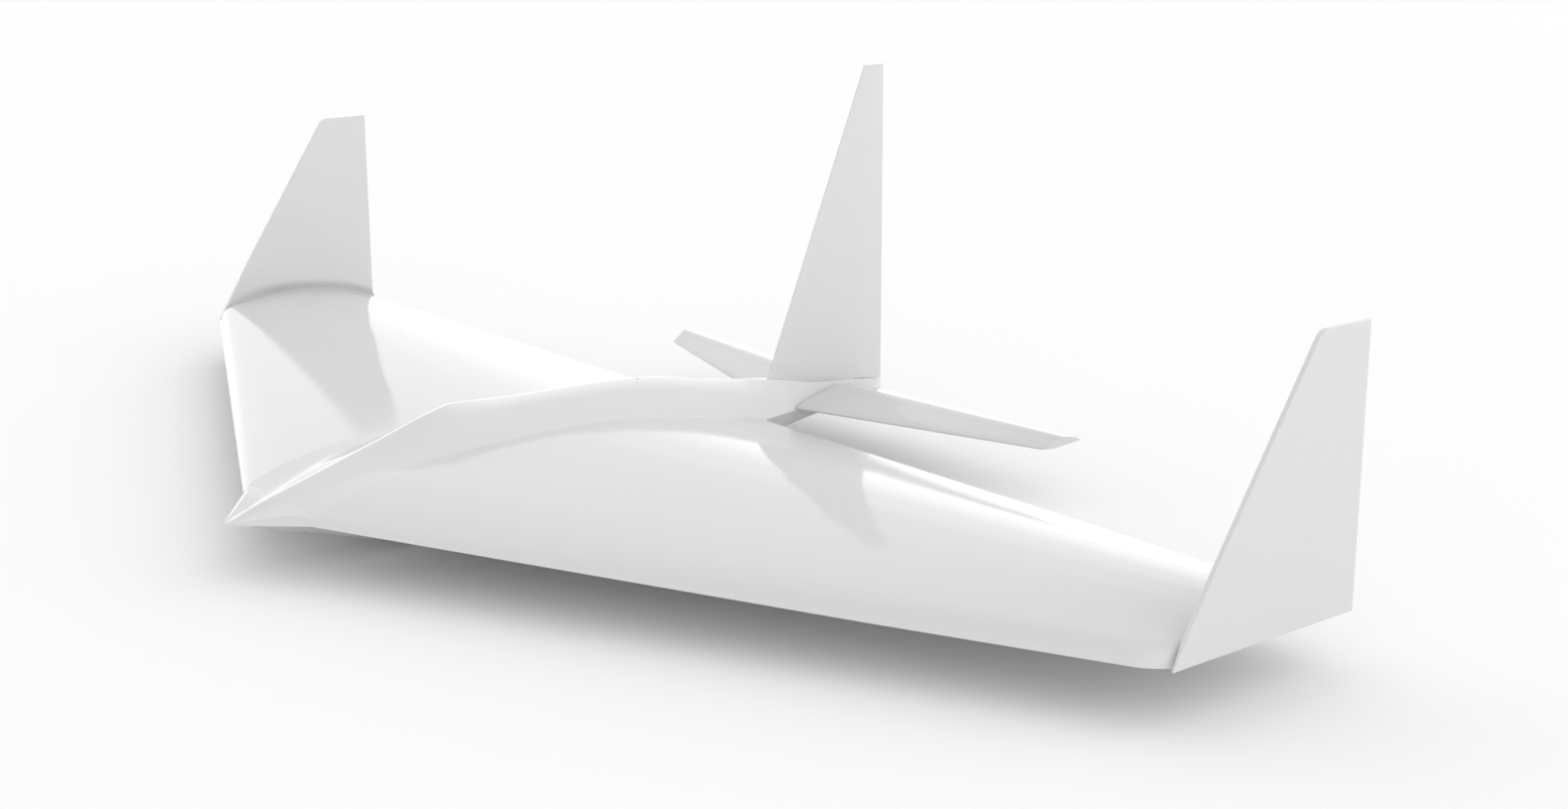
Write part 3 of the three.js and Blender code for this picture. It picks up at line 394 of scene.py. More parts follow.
def half_ring(y):
    w, zj, zr = sh_w(y), sh_z(y), ridge(y)
    if y < KY:
        xe = y * KX / KY
        xf, zf = facet_x(y), facet_z(y)
    else:
        xe = KX - SEAM
        xf, zf = facet_x(y), (facet_z(y) if y < 45.6 else float(wing_z(KX, y)))
    P0, P1, P2 = (0.0, zr), (w, zj), (xf, zf)
    ze = edge_lift(xe) if y < KY else under(KX, y - KY)
    P3 = (xe, ze) if y < KY else (xe, max(float(wing_z(KX, y)) if y > 45.6 else min(float(wing_z(KX, y)), zf), ze + 0.02))
    s = (zr - zj) / max(w, 1e-6)
    rho = min(apex_rho(y), w * 0.1)
    soft = min(4.5, w * 0.4, (xf - w) * 0.45)
    a, b = toward(P1, P0, soft), toward(P1, P2, soft)
    bulge = lerp(0.2, 2.7, min(1, max(0, (y - 110) / 100.0)))
    reach = min(max(5.0 * rho, 1.5), w * 0.5)
    grid = list(np.array([0, .03, .06, .1, .15, .22, .32, .46, .66, 1]) * reach)
    grid += list(np.linspace(reach, a[0], 11)[1:-1])
    top = []
    for x in grid:
        u = (math.sqrt(x * x + rho * rho) - rho) / w
        top.append((x, zr + s * rho * 0.85 * max(0, 1 - x / a[0]) - s * math.sqrt(x * x + rho * rho) + s * (math.sqrt(x * x + rho * rho) - x) * (x / a[0]) + bulge * 4 * u * (1 - u) * (1 - (x / a[0]) ** 4)))
    top += bez(a, P1, b, 11)
    corner = min(0.5, (xf - w) * 0.1)
    c, d = toward(P2, P1, corner), toward(P2, P3, min(corner, 0.45 * math.hypot(P2[0] - P3[0], P2[1] - P3[1])))
    top += span(b, c, 8) + bez(c, P2, d, 4)
    top += span(d, P3, 3) + [P3]
    low = [(xe, ze + 0.01)] if y >= KY else [(xe - 0.02, ze - 0.004)]
    hx, kb, kd = min(chine_w(y), xe * 0.85), keel_w(y), depth(y)
    Q0, Q1, Q2 = (xe - 0.1, ze - 0.008), (hx, ze * 0.45 if y < KY else ze * 0.45), (kb, -kd)
    g = min(3.0, (Q0[0] - hx) * 0.4, kd * 0.3)
    e, f = toward(Q1, Q0, g), toward(Q1, Q2, g)
    g2 = min(4.0, kd * 0.35, kb * 0.4)
    h1, h2 = toward(Q2, Q1, g2), toward(Q2, (0, -kd), g2)
    low += [Q0] + span(Q0, e, 2) + bez(e, Q1, f, 6) + span(f, h1, 6) + bez(h1, Q2, h2, 7) + span(h2, (0, -kd), 2) + [(0.0, -kd)]
    return top + low


def body_ring(y):
    h = half_ring(y)
    right = [(x, y, z) for x, z in h]
    left = [(-x, y, z) for x, z in h[1:-1]][::-1]
    return right + left


ys = sorted(set(list(np.linspace(0.6, 8, 7)) + list(np.linspace(8, 38, 21)) + list(np.linspace(38, KY - 0.02, 5)) + list(np.linspace(KY + 0.02, 60, 22)) + list(np.linspace(60, 172, 36)) + list(np.linspace(172, 190, 16)) + list(np.linspace(190, 340, 44)) + list(np.linspace(340, 372, 16)) + list(np.linspace(372, TE - 0.02, 30))))
body = loft("body", [body_ring(y) for y in ys])


def cavity_ring(y):
    w, zj, zr, d, b = sh_w(y) - 1.2, sh_z(y) - 2, ridge(y) - 3, depth(y) - 2, keel_w(y) - 1.5
    z50, xf = max(float(wing_z(KX, y)) - 2.2, 2.4), 47.6
    hx = min(chine_w(y), 50) - 2.4
    f = min(1, max(0, (y - 38) / 18))
    xi, zi = lerp(24, xf, f), lerp(5, z50, f)
    top = [(xi, 1.8), (xi, zi), ((xi + w) / 2, (zi + zj) / 2), (w, zj)]
    low = min(hx, xi - 1)
    return [(x, y, z) for x, z in top] + [(0, y, zr)] + [(-x, y, z) for x, z in top[::-1]] + [(-low, y, 1.8), (-b, y, -d), (b, y, -d), (low, y, 1.8)]


def core_ring(y, wt):
    w = (sh_w(y) if y <= 459 else boom_w(y)) - wt
    zr, d = ridge(y) - wt * 1.5, depth(y) - wt
    b = max(keel_w(y) - wt * 0.8, 1)
    return [(w, y, 2.2), (3, y, zr - 1.5), (-3, y, zr - 1.5), (-w, y, 2.2), (-b, y, -d), (b, y, -d)]


cut(body, loft("cav", [cavity_ring(y) for y in np.linspace(38, 428, 60)]), loft("core", [core_ring(y, 2.1) for y in (415, 425, 435, 447, 459.3, 470)]))
hull = copy(body, "fuselage_lower_hull_visual")
cut(hull, box("b1", -80, 80, -10, 700, -0.04, 200), box("b2", -22, 22, 223, 273, -60, -20))
deck = body
deck.name = "fuselage_upper_shell_visual"
cut(deck, box("b3", -80, 80, -10, 700, -200, 0.04))


def hatch_cut(name, o):
    yy = np.linspace(HATCH_FRONT - o, HATCH_REAR + o, 90)
    right = [(sh_w(y) - 0.5 + o, y) for y in yy]
    return prism(name, right + [(-x, y) for x, y in right[::-1]], "z", 1.9 - o, 120)


PIN_Y, PIN_Z = HATCH_REAR + 0.1, 47.4
hatch = copy(deck, "battery_hatch_visual")
cut(hatch, hatch_cut("hc", 0.0), op="INTERSECT")
cut(hatch, rod("pr", (-2.4, PIN_Y, PIN_Z), (2.4, PIN_Y, PIN_Z), 1.15))
cut(deck, hatch_cut("hd", 0.05), rod("pr2", (-2.4, PIN_Y, PIN_Z), (2.4, PIN_Y, PIN_Z), 1.2))
for side in (1, -1):
    cut(deck, rod("r8", (side * 30, 395, 6.2), (side * 66, 395, 6.2), 2.3))
    cut(deck, rod("r9", (side * spar_pt(22)[0], 185 + 14, 9.6), (side * 60, 199, 9.6), 4.6))
largest(hatch)
largest(deck)
largest(hull)


# ------------------------------------------------------------------ boom
def boom_half(y):
    w, zr, d, b = boom_w(y), ridge(y), depth(y), keel_w(y)
    f = min(4.2, 0.5 + (y - 459) * 0.15, w * 0.8)
    P0, P1, P2 = (f, zr), (w, 2.0), (b, -d)
    r0, r1 = min(0.8, f * 0.5), min(0.7, w * 0.2)
    a0, a1 = toward(P0, (0, zr), r0), toward(P0, P1, r0)
    top = [(0.0, zr)] + span((0, zr), a0, 2) + bez(a0, P0, a1, 6)
    e0, e1 = toward(P1, P0, r1), toward(P1, P2, r1)
    top += span(a1, e0, 10) + bez(e0, P1, e1, 5)
    r2 = min(4, d * 0.3, b * 0.5)
    h0, h1 = toward(P2, P1, r2), toward(P2, (0, -d), r2)
    return top + span(e1, h0, 6) + bez(h0, P2, h1, 6) + [(0.0, -d)]


def boom_ring(y, grow=0.0):
    h = boom_half(y)
    right = [(x, y, z) for x, z in h]
    return right + [(-x, y, z) for x, z in h[1:-1]][::-1]


boom = loft("tail_boom_visual", [boom_ring(y) for y in list(np.linspace(TE + 0.01, 600, 60)) + [602, 604, 605.5, STERN - 0.5]])
boom_outer = copy(boom, "boom_outer")
cut(boom, loft("bi", [[(x, y, z) for x, _, z in core_ring(max(y, 459.1), 1.9)] for y in (TE - 2, 470, 483, 500, 520, 545, 575, 588)]))
cut(boom, prism("ex", [(-14.2, 463.8), (14.2, 463.8), (14.2, 482), (9.0, 491), (-9.0, 491), (-14.2, 482)], "z", -40, -5.5))


# ------------------------------------------------------------------ tailplane
def trp(t): return (lerp(T_ROOT[0][0], T_ROOT[1][0], t), lerp(T_ROOT[0][1], T_ROOT[1][1], t))
def ttp(t): return (lerp(T_TIP[0][0], T_TIP[1][0], t), lerp(T_TIP[0][1], T_TIP[1][1], t))
def tail_pos(s, t):
    a, b = trp(t), ttp(t)
    return (lerp(a[0], b[0], s), lerp(a[1], b[1], s))


def tail_param(x, y):
    s, t = 0.5, 0.5
    for _ in range(25):
        a, b = trp(t), ttp(t)
        s = (x - a[0]) / (b[0] - a[0])
        l, r = tail_pos(s, 0)[1], tail_pos(s, 1)[1]
        t = (y - l) / (r - l)
    return s, t


def tail_up(x, y):
    s, t = tail_param(x, y)
    return lerp(tr_up(t), tt_up(t), s)


def tail_lo(x, y):
    s, t = tail_param(x, y)
    return lerp(tr_lo(t), tt_lo(t), s)


T_TAIL = np.concatenate([np.linspace(0, 1, 10)[:-1] ** 2 * 0.08, np.linspace(0.08, 1, 40)])


def tail_ring(s):
    up = [(*tail_pos(s, t), lerp(tr_up(t), tt_up(t), s)) for t in T_TAIL]
    lo = [(*tail_pos(s, t), lerp(tr_lo(t), tt_lo(t), s)) for t in T_TAIL[::-1][:-1]]
    return up + lo


def elev_pt(s):
    x, y = tail_pos(s, ELEV_T)
    return (x, y, (tail_up(x, y) + tail_lo(x, y)) / 2)


eA, eB = elev_pt(0), elev_pt(1)
stab = loft("tailplane_left_visual", [tail_ring(s) for s in np.linspace(0, 1, 30)])
cut(stab, surface("er", eA, eB, -0.2, ELEV_OUT + 0.0006, tail_up, tail_lo, None, 0.05, 60, n=40))
largest(stab)
cut(stab, rod("r10", (-98, 541, 7), (98, 541, 7), 2.1))
elevator = surface("elevator_left_visual", eA, eB, ELEV_IN, ELEV_OUT, tail_up, tail_lo, lambda x, y: tail_pos(tail_param(x, y)[0], 1)[1], 0.0, n=40)
JY, JZ = 559.2, 7.35
cut(elevator, rod("r11", (12, JY, JZ), (29, JY, JZ), 1.9))
cut(boom, rod("r12", (-98, 541, 7), (98, 541, 7), 2.1), rod("r13", (-40, JY, JZ), (40, JY, JZ), 1.6), rod("r14", (0, RUDDER_Y, -1), (0, RUDDER_Y, 40), 1.9))
largest(boom)

# ------------------------------------------------------------------ fin and rudder
def fin_le(z): return lerp(483.6, 586.2, (z - 26.4) / (274.2 - 26.4))
def fin_te(z): return lerp(607.18, 607, z / 274)
def fin_half(z): return lerp(4.1, 1.6, max(0, z) / 274)
fin_th = curve([(0, .12), (.01, .36), (.04, .55), (.15, .85), (.35, 1), (.6, .92), (1, .12)])


def fin_ring(z):
    le, te, h = fin_le(z), fin_te(z), fin_half(z)
    fs = np.concatenate([[0, .004, .01, .02, .04, .07], np.linspace(0.11, 1, 30)])
    r = [(h * fin_th(f), lerp(le, te, f), z) for f in fs]
    return r + [(-x, y, z) for x, y, z in r[::-1]]


def rud_r(z):
    f = (RUDDER_Y - fin_le(z)) / (fin_te(z) - fin_le(z))
    return fin_half(z) * fin_th(f)


RUD_Z1 = 206.0


def rud_ring(z, gap, room):
    r = rud_r(z) + gap
    ring = [(r * math.cos(a), RUDDER_Y - r * math.sin(a), z) for a in np.linspace(0, math.pi, 25)]
    if room:
        return ring + [(-r, RUDDER_Y + 0.01, z), (-30, RUDDER_Y + 0.5, z), (-30, 640, z), (30, 640, z), (30, RUDDER_Y + 0.5, z), (r, RUDDER_Y + 0.01, z)]
    le, te, h = fin_le(z), fin_te(z), fin_half(z)
    back = [(math.sqrt(r * r - d * d), RUDDER_Y + d, z) for d in (0.15 * r, 0.3 * r, 0.42 * r)]
    back += [(h * fin_th((y - le) / (te - le)), y, z) for y in np.linspace(RUDDER_Y + 2.4, te, 12)]
    return ring + [(-x, y, z) for x, y, z in back] + back[::-1]


fin = loft("fin_visual", [fin_ring(z) for z in np.linspace(4, 274.2, 60)])
boom_top = lambda o: loft("bt", [[(30, y, z - 60), (30, y, z), (-30, y, z), (-30, y, z - 60)] for y, z in ((y, ridge(y) + o) for y in list(np.linspace(455, 606.6, 60)) + [625])])
cut(fin, boom_top(0.05))
cut(fin, loft("rr", [rud_ring(z, 0.05, True) for z in np.linspace(-10, RUD_Z1 + 0.06, 40)]))
cut(fin, rod("r15", (0, RUDDER_Y, RUD_Z1 - 1), (0, RUDDER_Y, RUD_Z1 + 10), 0.9))
largest(fin)
rudder = loft("rudder_visual", [rud_ring(z, 0, False) for z in np.linspace(8, RUD_Z1, 40)])
cut(rudder, boom_top(0.35))
cut(rudder, rod("r16", (0, RUDDER_Y, 5), (0, RUDDER_Y, 61), 1.45), rod("r17", (0, RUDDER_Y, RUD_Z1 - 13), (0, RUDDER_Y, RUD_Z1 + 2), 0.9))
largest(rudder)
bpy.data.objects.remove(boom_outer)


# ------------------------------------------------------------------ winglets
WL_LE = [(0, 292.8), (51.4, 324.4), (178.7, 409.3), (180.6, 410.8), (182.0, 412.6), (182.9, 414.6), (183.3, 416.6), (183.6, 418.6)]
WL_TE, WL_TOP, WL_EDGE = 458.6, 183.6, 0.5


def winglet_mesh(name):
    """Flat plate in level slices, edges rounded, thinning to a sharp point at the lower front corner."""
    vs = [0.0, 0.08, 0.25, 0.5] + list(np.linspace(2, 51.4, 14)) + list(np.linspace(56, 178.7, 26)) + [179.8, 180.6, 181.4, 182.0, 182.5, 182.9, 183.1, 183.35, 183.5, 183.6]
    rings = []
    for v in vs:
        near = min(v, WL_TOP - v)
        inset = WL_EDGE * (1 - math.sqrt(max(0.0, 1 - (1 - min(1.0, near / WL_EDGE)) ** 2)))
        u0 = float(np.interp(v, [p[0] for p in WL_LE], [p[1] for p in WL_LE])) + inset
        u1, x0, x1 = WL_TE - inset, WL0 + inset, WL1 - inset
        r = WL_EDGE - inset * 0.5
        arc = [math.pi / 2 * k / 4 for k in range(5)]
        ring = [(x0 + r - r * math.cos(q), u0 + r - r * math.sin(q)) for q in arc] + [(x1 - r + r * math.sin(q), u0 + r - r * math.cos(q)) for q in arc]
        along_u = [u0 + d for d in (2, 4, 7, 11, 16, 22) if u0 + d < u1 - 3]
        ring += [(x1, u) for u in along_u]
        ring += [(x1 - r + r * math.cos(q), u1 - r + r * math.sin(q)) for q in arc] + [(x0 + r - r * math.sin(q), u1 - r + r * math.cos(q)) for q in arc]
        ring += [(x0, u) for u in along_u[::-1]]
        rings.append([(WL1 - (WL1 - x) * lerp(0.33, 1.0, min(1.0, math.hypot(u - 292.8, v) / 20.0)), u, v) for x, u in ring])
    return loft(name, rings)


winglet = winglet_mesh("winglet_left_visual")
for yy, zz in ((355, 8.5), (430, 5.6)):
    cut(winglet, rod("wd", (WL0 - 5, yy, zz), (WL0 + 2.6, yy, zz), 1.9))


# ------------------------------------------------------------------ materials
def material(name, base, rough, coat=0.0, metallic=0.0, vary=0.03, scale=60.0, bump=0.0, weave=0.0, sub=0.0):
    m = bpy.data.materials.new(name)
    m.use_nodes = True
    nt = m.node_tree
    bsdf = nt.nodes["Principled BSDF"]
    tex = nt.nodes.new("ShaderNodeTexCoord")
    noise = nt.nodes.new("ShaderNodeTexNoise")
    noise.inputs["Scale"].default_value = scale
    noise.inputs["Detail"].default_value = 3.0
    nt.links.new(tex.outputs["Object"], noise.inputs["Vector"])
    mix = nt.nodes.new("ShaderNodeMix")
    mix.data_type = "RGBA"
    dark = tuple(c * (1 - vary) for c in base)
    mix.inputs[6].default_value = (*dark, 1)
    mix.inputs[7].default_value = (*base, 1)
    nt.links.new(noise.outputs["Fac"], mix.inputs[0])
    out = mix.outputs[2]
    if weave:
        wave = nt.nodes.new("ShaderNodeTexChecker")
        wave.inputs["Scale"].default_value = weave
        nt.links.new(tex.outputs["Object"], wave.inputs["Vector"])
        mix2 = nt.nodes.new("ShaderNodeMix")
        mix2.data_type = "RGBA"
        mix2.blend_type = "MULTIPLY"
        mix2.inputs[0].default_value = 0.5
        nt.links.new(out, mix2.inputs[6])
        nt.links.new(wave.outputs["Color"], mix2.inputs[7])
        wave.inputs["Color1"].default_value = (1, 1, 1, 1)
        wave.inputs["Color2"].default_value = (0.55, 0.55, 0.55, 1)
        out = mix2.outputs[2]
    nt.links.new(out, bsdf.inputs["Base Color"])
    ramp = nt.nodes.new("ShaderNodeMapRange")
    ramp.inputs["To Min"].default_value = max(rough - 0.03, 0.02)
    ramp.inputs["To Max"].default_value = rough + 0.03
    n2 = nt.nodes.new("ShaderNodeTexNoise")
    n2.inputs["Scale"].default_value = scale * 0.35
    nt.links.new(tex.outputs["Object"], n2.inputs["Vector"])
    nt.links.new(n2.outputs["Fac"], ramp.inputs["Value"])
    nt.links.new(ramp.outputs["Result"], bsdf.inputs["Roughness"])
    bsdf.inputs["Metallic"].default_value = metallic
    bsdf.inputs["Coat Weight"].default_value = coat
    bsdf.inputs["Coat Roughness"].default_value = 0.04
    if bump:
        b = nt.nodes.new("ShaderNodeBump")
        b.inputs["Strength"].default_value = bump
        b.inputs["Distance"].default_value = 0.0002
        nt.links.new(noise.outputs["Fac"], b.inputs["Height"])
        nt.links.new(b.outputs["Normal"], bsdf.inputs["Normal"])
    return m


WHITE = material("white_gloss", (0.605, 0.605, 0.605), 0.10, coat=0.0, vary=0.012, scale=9.0)
WHITE.node_tree.nodes["Principled BSDF"].inputs["Specular IOR Level"].default_value = 0.42


def ridge_painted_highlight():
    """The white skin with a painted highlight: a lighter base colour along the dorsal ridge, painted in where light
    reflects off the ridge.
    """
    m = WHITE.copy()
    m.name = "white_gloss_ridge_painted_highlight"
    nt = m.node_tree
    bsdf = nt.nodes["Principled BSDF"]
    source = bsdf.inputs["Base Color"].links[0].from_socket
    tex = next(n for n in nt.nodes if n.bl_idname == "ShaderNodeTexCoord")
    sep = nt.nodes.new("ShaderNodeSeparateXYZ")
    nt.links.new(tex.outputs["Object"], sep.inputs[0])

    def node(op, *values):
        n = nt.nodes.new("ShaderNodeMath")
        n.operation = op
        for i, v in enumerate(values):
            if isinstance(v, (int, float)):
                n.inputs[i].default_value = v
            else:
                nt.links.new(v, n.inputs[i])
        return n.outputs[0]

    def band(lo, hi):
        n = nt.nodes.new("ShaderNodeMapRange")
        n.interpolation_type = "SMOOTHSTEP"
        n.inputs["From Min"].default_value, n.inputs["From Max"].default_value = lo, hi
        n.inputs["To Min"].default_value, n.inputs["To Max"].default_value = 1.0, 0.0
        nt.links.new(off, n.inputs["Value"])
        return n.outputs["Result"]

    # Painted highlight: a lighter band along the ridge, as a sharp line from the nose back and a broad band over the
    # rounded top aft of the first kink.
    off = node("ABSOLUTE", sep.outputs["X"])
    line = band(0.0006, 0.0017)                                   # the sharp line from the nose back
    wide = band(0.0, 0.015)                                       # the broad rounded top aft of the first kink
    aft = nt.nodes.new("ShaderNodeMapRange")
    aft.inputs["From Min"].default_value, aft.inputs["From Max"].default_value = (165 - Y_MID) / 1000.0, (215 - Y_MID) / 1000.0
    nt.links.new(sep.outputs["Y"], aft.inputs["Value"])
    fade = nt.nodes.new("ShaderNodeMapRange")
    fade.inputs["From Min"].default_value, fade.inputs["From Max"].default_value = (445 - Y_MID) / 1000.0, (500 - Y_MID) / 1000.0
    fade.inputs["To Min"].default_value, fade.inputs["To Max"].default_value = 1.0, 0.0
    nt.links.new(sep.outputs["Y"], fade.inputs["Value"])
    fac = node("MULTIPLY", node("MAXIMUM", line, node("MULTIPLY", node("MULTIPLY", wide, aft.outputs["Result"]), 0.5)), fade.outputs["Result"])
    high = nt.nodes.new("ShaderNodeMapRange")                     # outer skin only, not the inside
    high.inputs["From Min"].default_value, high.inputs["From Max"].default_value = 0.036, 0.040
    nt.links.new(sep.outputs["Z"], high.inputs["Value"])
    mix = nt.nodes.new("ShaderNodeMix")
    mix.data_type = "RGBA"
    nt.links.new(node("MULTIPLY", fac, high.outputs["Result"]), mix.inputs[0])
    nt.links.new(source, mix.inputs[6])
    # colour of the painted ridge highlight
    mix.inputs[7].default_value = (0.88, 0.88, 0.88, 1)
    nt.links.new(mix.outputs[2], bsdf.inputs["Base Color"])
    return m


RIDGE_PAINTED_HIGHLIGHT = ridge_painted_highlight()


def foot_painted_shade():
    """The white skin with painted shade: a darker base colour along the inner foot of each winglet, over the wing's tip
    section, where shade falls in the corner between winglet and wing.
    """
    m = WHITE.copy()
    m.name = "white_gloss_foot_painted_shade"
    nt = m.node_tree
    bsdf = nt.nodes["Principled BSDF"]
    source = bsdf.inputs["Base Color"].links[0].from_socket
    tex = next(n for n in nt.nodes if n.bl_idname == "ShaderNodeTexCoord")
    sep = nt.nodes.new("ShaderNodeSeparateXYZ")
    nt.links.new(tex.outputs["Object"], sep.inputs[0])

    def node(op, *values):
        n = nt.nodes.new("ShaderNodeMath")
        n.operation = op
        for i, v in enumerate(values):
            if isinstance(v, (int, float)):
                n.inputs[i].default_value = float(v)
            else:
                nt.links.new(v, n.inputs[i])
        return n.outputs[0]

    def ramp(value, lo, hi, at_lo, at_hi):
        n = nt.nodes.new("ShaderNodeMapRange")
        n.inputs["From Min"].default_value, n.inputs["From Max"].default_value = lo, hi
        n.inputs["To Min"].default_value, n.inputs["To Max"].default_value = at_lo, at_hi
        nt.links.new(value, n.inputs["Value"])
        return n.outputs["Result"]

    le = float(y_le(WL0))
    ts = np.linspace(0.04, 1, 40)
    fit = [float(k) for k in np.polyfit(ts, [float(wing_up(WL0, t)) for t in ts], 4)]
    t = node("MULTIPLY_ADD", sep.outputs["Y"], 1000.0 / (TE - le), (Y_MID - le) / (TE - le))
    top = node("MULTIPLY_ADD", t, fit[0], fit[1])
    for k in fit[2:]:
        top = node("MULTIPLY_ADD", top, t, k)
    h = node("SUBTRACT", node("MULTIPLY_ADD", sep.outputs["Z"], 1000.0, -36.0), top)
    off = node("MULTIPLY", node("ABSOLUTE", sep.outputs["X"]), 1000.0)
    side = node("MULTIPLY", ramp(off, WL0 - 4.0, WL0 - 1.0, 0.0, 1.0), ramp(off, WL0 + 0.2, WL0 + 0.6, 1.0, 0.0))
    rise = node("MULTIPLY", ramp(h, 0.0, 9.5, 1.0, 0.0), ramp(h, -1.5, -0.5, 0.0, 1.0))
    mix = nt.nodes.new("ShaderNodeMix")
    mix.data_type = "RGBA"
    nt.links.new(node("MULTIPLY", node("MULTIPLY", side, rise), ramp(t, 0.08, 0.38, 0.08, 1.0)), mix.inputs[0])
    nt.links.new(source, mix.inputs[6])
    # colour of the painted shade in the corner at the winglet foot
    mix.inputs[7].default_value = (0.32, 0.32, 0.32, 1)
    nt.links.new(mix.outputs[2], bsdf.inputs["Base Color"])
    return m


FOOT_PAINTED_SHADE = foot_painted_shade()
CARBON = material("carbon_weave", (0.035, 0.036, 0.04), 0.35, coat=0.6, vary=0.25, scale=300, weave=420)
STEEL = material("brushed_steel", (0.55, 0.56, 0.58), 0.28, metallic=1.0, vary=0.12, scale=500)
CASE = material("black_case", (0.025, 0.026, 0.03), 0.45, vary=0.2, scale=700, bump=0.3)
NYLON = material("black_nylon", (0.03, 0.031, 0.034), 0.55, vary=0.2, scale=500, bump=0.3)
PLY = material("plywood", (0.62, 0.42, 0.24), 0.62, vary=0.35, scale=90, bump=0.3)
WRAP = material("battery_wrap", (0.03, 0.07, 0.13), 0.3, coat=0.4, vary=0.15, scale=120)
WEB = material("webbing", (0.03, 0.03, 0.032), 0.85, vary=0.4, scale=900, bump=0.6, weave=700)
BOARD = material("green_board", (0.02, 0.12, 0.06), 0.4, coat=0.3, vary=0.2, scale=300)
by_slot = {"carbon": CARBON, "steel": STEEL, "black_case": CASE, "black_nylon": NYLON, "plywood": PLY, "battery_wrap": WRAP, "webbing": WEB, "green_board": BOARD, "white_skin": WHITE}

# ------------------------------------------------------------------ pieces on their bodies
right = {}
pieces = [
    (deck, "airframe", "fuselage_upper_shell"), (hull, "airframe", "fuselage_lower_hull"), (hatch, "hatch", "battery_hatch"),
    (wing, "airframe", "wing_left"), (aileron, "port_aileron", "aileron_left"), (cover, "airframe", "servo_cover_left"), (winglet, "airframe", "winglet_left"),
    (boom, "airframe", "tail_boom"), (stab, "airframe", "tailplane_left"), (elevator, "port_elevator", "elevator_left"), (fin, "airframe", "fin"), (rudder, "rudder_surface", "rudder"),
]
for ob, body_name, node in list(pieces):
    if node.endswith("_left"):
        other = node.replace("_left", "_right")
        pieces.append((mirrored(ob, other + "_visual"), body_name.replace("port_", "starboard_"), other))
for ob, body_name, node in pieces:
    smooth(ob, 12 if "winglet" in node else 24 if "wing" in node or "fuselage" in node or "hatch" in node else 30)
    if "winglet" in node or "cover" in node:
        for p in ob.data.polygons:
            if max(abs(p.normal.x), abs(p.normal.z)) > 0.999:
                p.use_smooth = False
    ob.data.materials.clear()
    # The ridge pieces take the painted ridge highlight; the wing and winglet pieces take the painted shade at the
    # winglet foot.
    ob.data.materials.append(RIDGE_PAINTED_HIGHLIGHT if node in ("battery_hatch", "fuselage_upper_shell", "tail_boom") else FOOT_PAINTED_SHADE if node.startswith("wing") else WHITE)
    if any(k in node for k in ("fin", "rudder", "cover")):
        wn = ob.modifiers.new("weighted normals", "WEIGHTED_NORMAL")
        wn.keep_sharp = True
        wn.weight = 90
    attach(ob, body_name)
    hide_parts(node)

stood = {node for _, _, node in pieces}
slot_of = {}
for entry in frame["record"].get("subparts", []):
    slot_of[entry.get("node")] = entry.get("material_slot") or entry.get("slot")
for name, ob in frame["nodes"].items():
    if name in stood:
        continue
    s = slot_of.get(name)
    ob.data.materials.clear()
    ob.data.materials.append(by_slot.get(s, CASE))
    lo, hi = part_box(name)
    small = min((hi - lo)[:])
    bev = ob.modifiers.new("soft edges", "BEVEL")
    bev.width = min(0.0006, small * 0.08)
    bev.segments = 2
    bev.limit_method = "ANGLE"
    bev.angle_limit = math.radians(40)
    bev.use_clamp_overlap = True

# ------------------------------------------------------------------ stage
def stage_material(name, base, rough, mixin=0.01):
    return material(name, base, rough, vary=mixin, scale=1.5)


bpy.ops.mesh.primitive_plane_add(size=60, location=(0, 0, -0.0005))
floor = bpy.context.object
floor.name = "floor"
floor.data.materials.append(stage_material("floor_white", (0.86, 0.86, 0.86), 1.0))
floor.visible_glossy = False      # a backdrop sweep: mirrored rays run on to the white surround

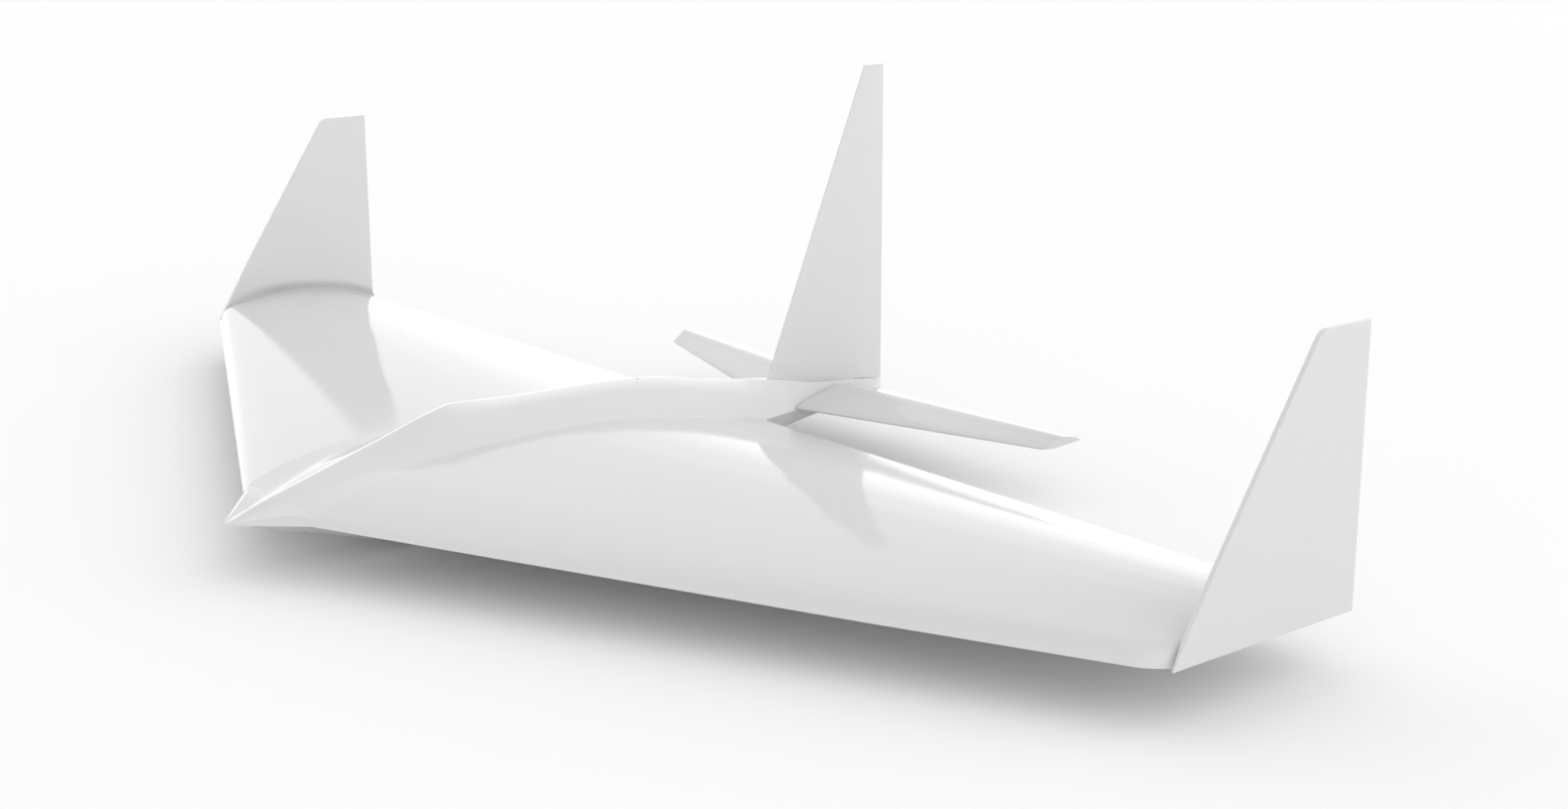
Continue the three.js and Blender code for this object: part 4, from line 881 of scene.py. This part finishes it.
world = bpy.data.worlds.new("studio")
bpy.context.scene.world = world
world.use_nodes = True
wt = world.node_tree
bg = wt.nodes["Background"]
bg.inputs["Color"].default_value = (1, 1, 1, 1)
UNIFORM, HORIZON, HORIZON_POW = 0.269, 1.104, 3.0
LOBES = [                # direction, power, amount: overhead, front right, left, behind, right, high behind left
    ((0, 0, 1), 3.0, 0.400), ((0.75, -0.6, 0.25), 3.0, 0.880), ((-1, -0.2, 0.4), 3.0, 0.826),
    ((0.1, 1, 0.4), 3.0, 1.012), ((1, 0.3, 0.4), 3.0, 0.568), ((-0.55, 0.4, 0.75), 8.0, 0.353),
]
tc = wt.nodes.new("ShaderNodeTexCoord")


def calc(op, *values):
    n = wt.nodes.new("ShaderNodeMath")
    n.operation = op
    for i, v in enumerate(values):
        if isinstance(v, (int, float)):
            n.inputs[i].default_value = v
        else:
            wt.links.new(v, n.inputs[i])
    return n.outputs[0]


def along(direction):
    n = wt.nodes.new("ShaderNodeVectorMath")
    n.operation = "DOT_PRODUCT"
    n.inputs[1].default_value = tuple(Vector(direction).normalized())
    wt.links.new(tc.outputs["Generated"], n.inputs[0])
    return n.outputs["Value"]


glow = calc("POWER", calc("SUBTRACT", 1.0, calc("ABSOLUTE", along((0, 0, 1)))), HORIZON_POW)
total = calc("MULTIPLY_ADD", glow, HORIZON, UNIFORM)
for direction, power, amount in LOBES:
    total = calc("MULTIPLY_ADD", calc("POWER", calc("MAXIMUM", along(direction), 0.0), power), amount, total)
wt.links.new(total, bg.inputs["Strength"])

# ------------------------------------------------------------------ camera
cam_data = bpy.data.cameras.new("camera")
cam_data.sensor_width, cam_data.lens = 36.0, 2300.4 * 36.0 / 1579.0
cam_data.clip_start, cam_data.clip_end = 0.02, 200
cam = bpy.data.objects.new("camera", cam_data)
az, el = math.radians(50.42), math.radians(14.72)
back = Vector((math.sin(az) * math.cos(el), -math.cos(az) * math.cos(el), math.sin(el)))
cam.location = (1.40004, -0.95971, 0.51552)
cam.rotation_mode = "QUATERNION"
cam.rotation_quaternion = (-back).to_track_quat("-Z", "Y")
bpy.context.scene.collection.objects.link(cam)
bpy.context.scene.camera = cam
bpy.context.scene.view_settings.view_transform = "Standard"
bpy.context.scene.view_settings.look = "None"
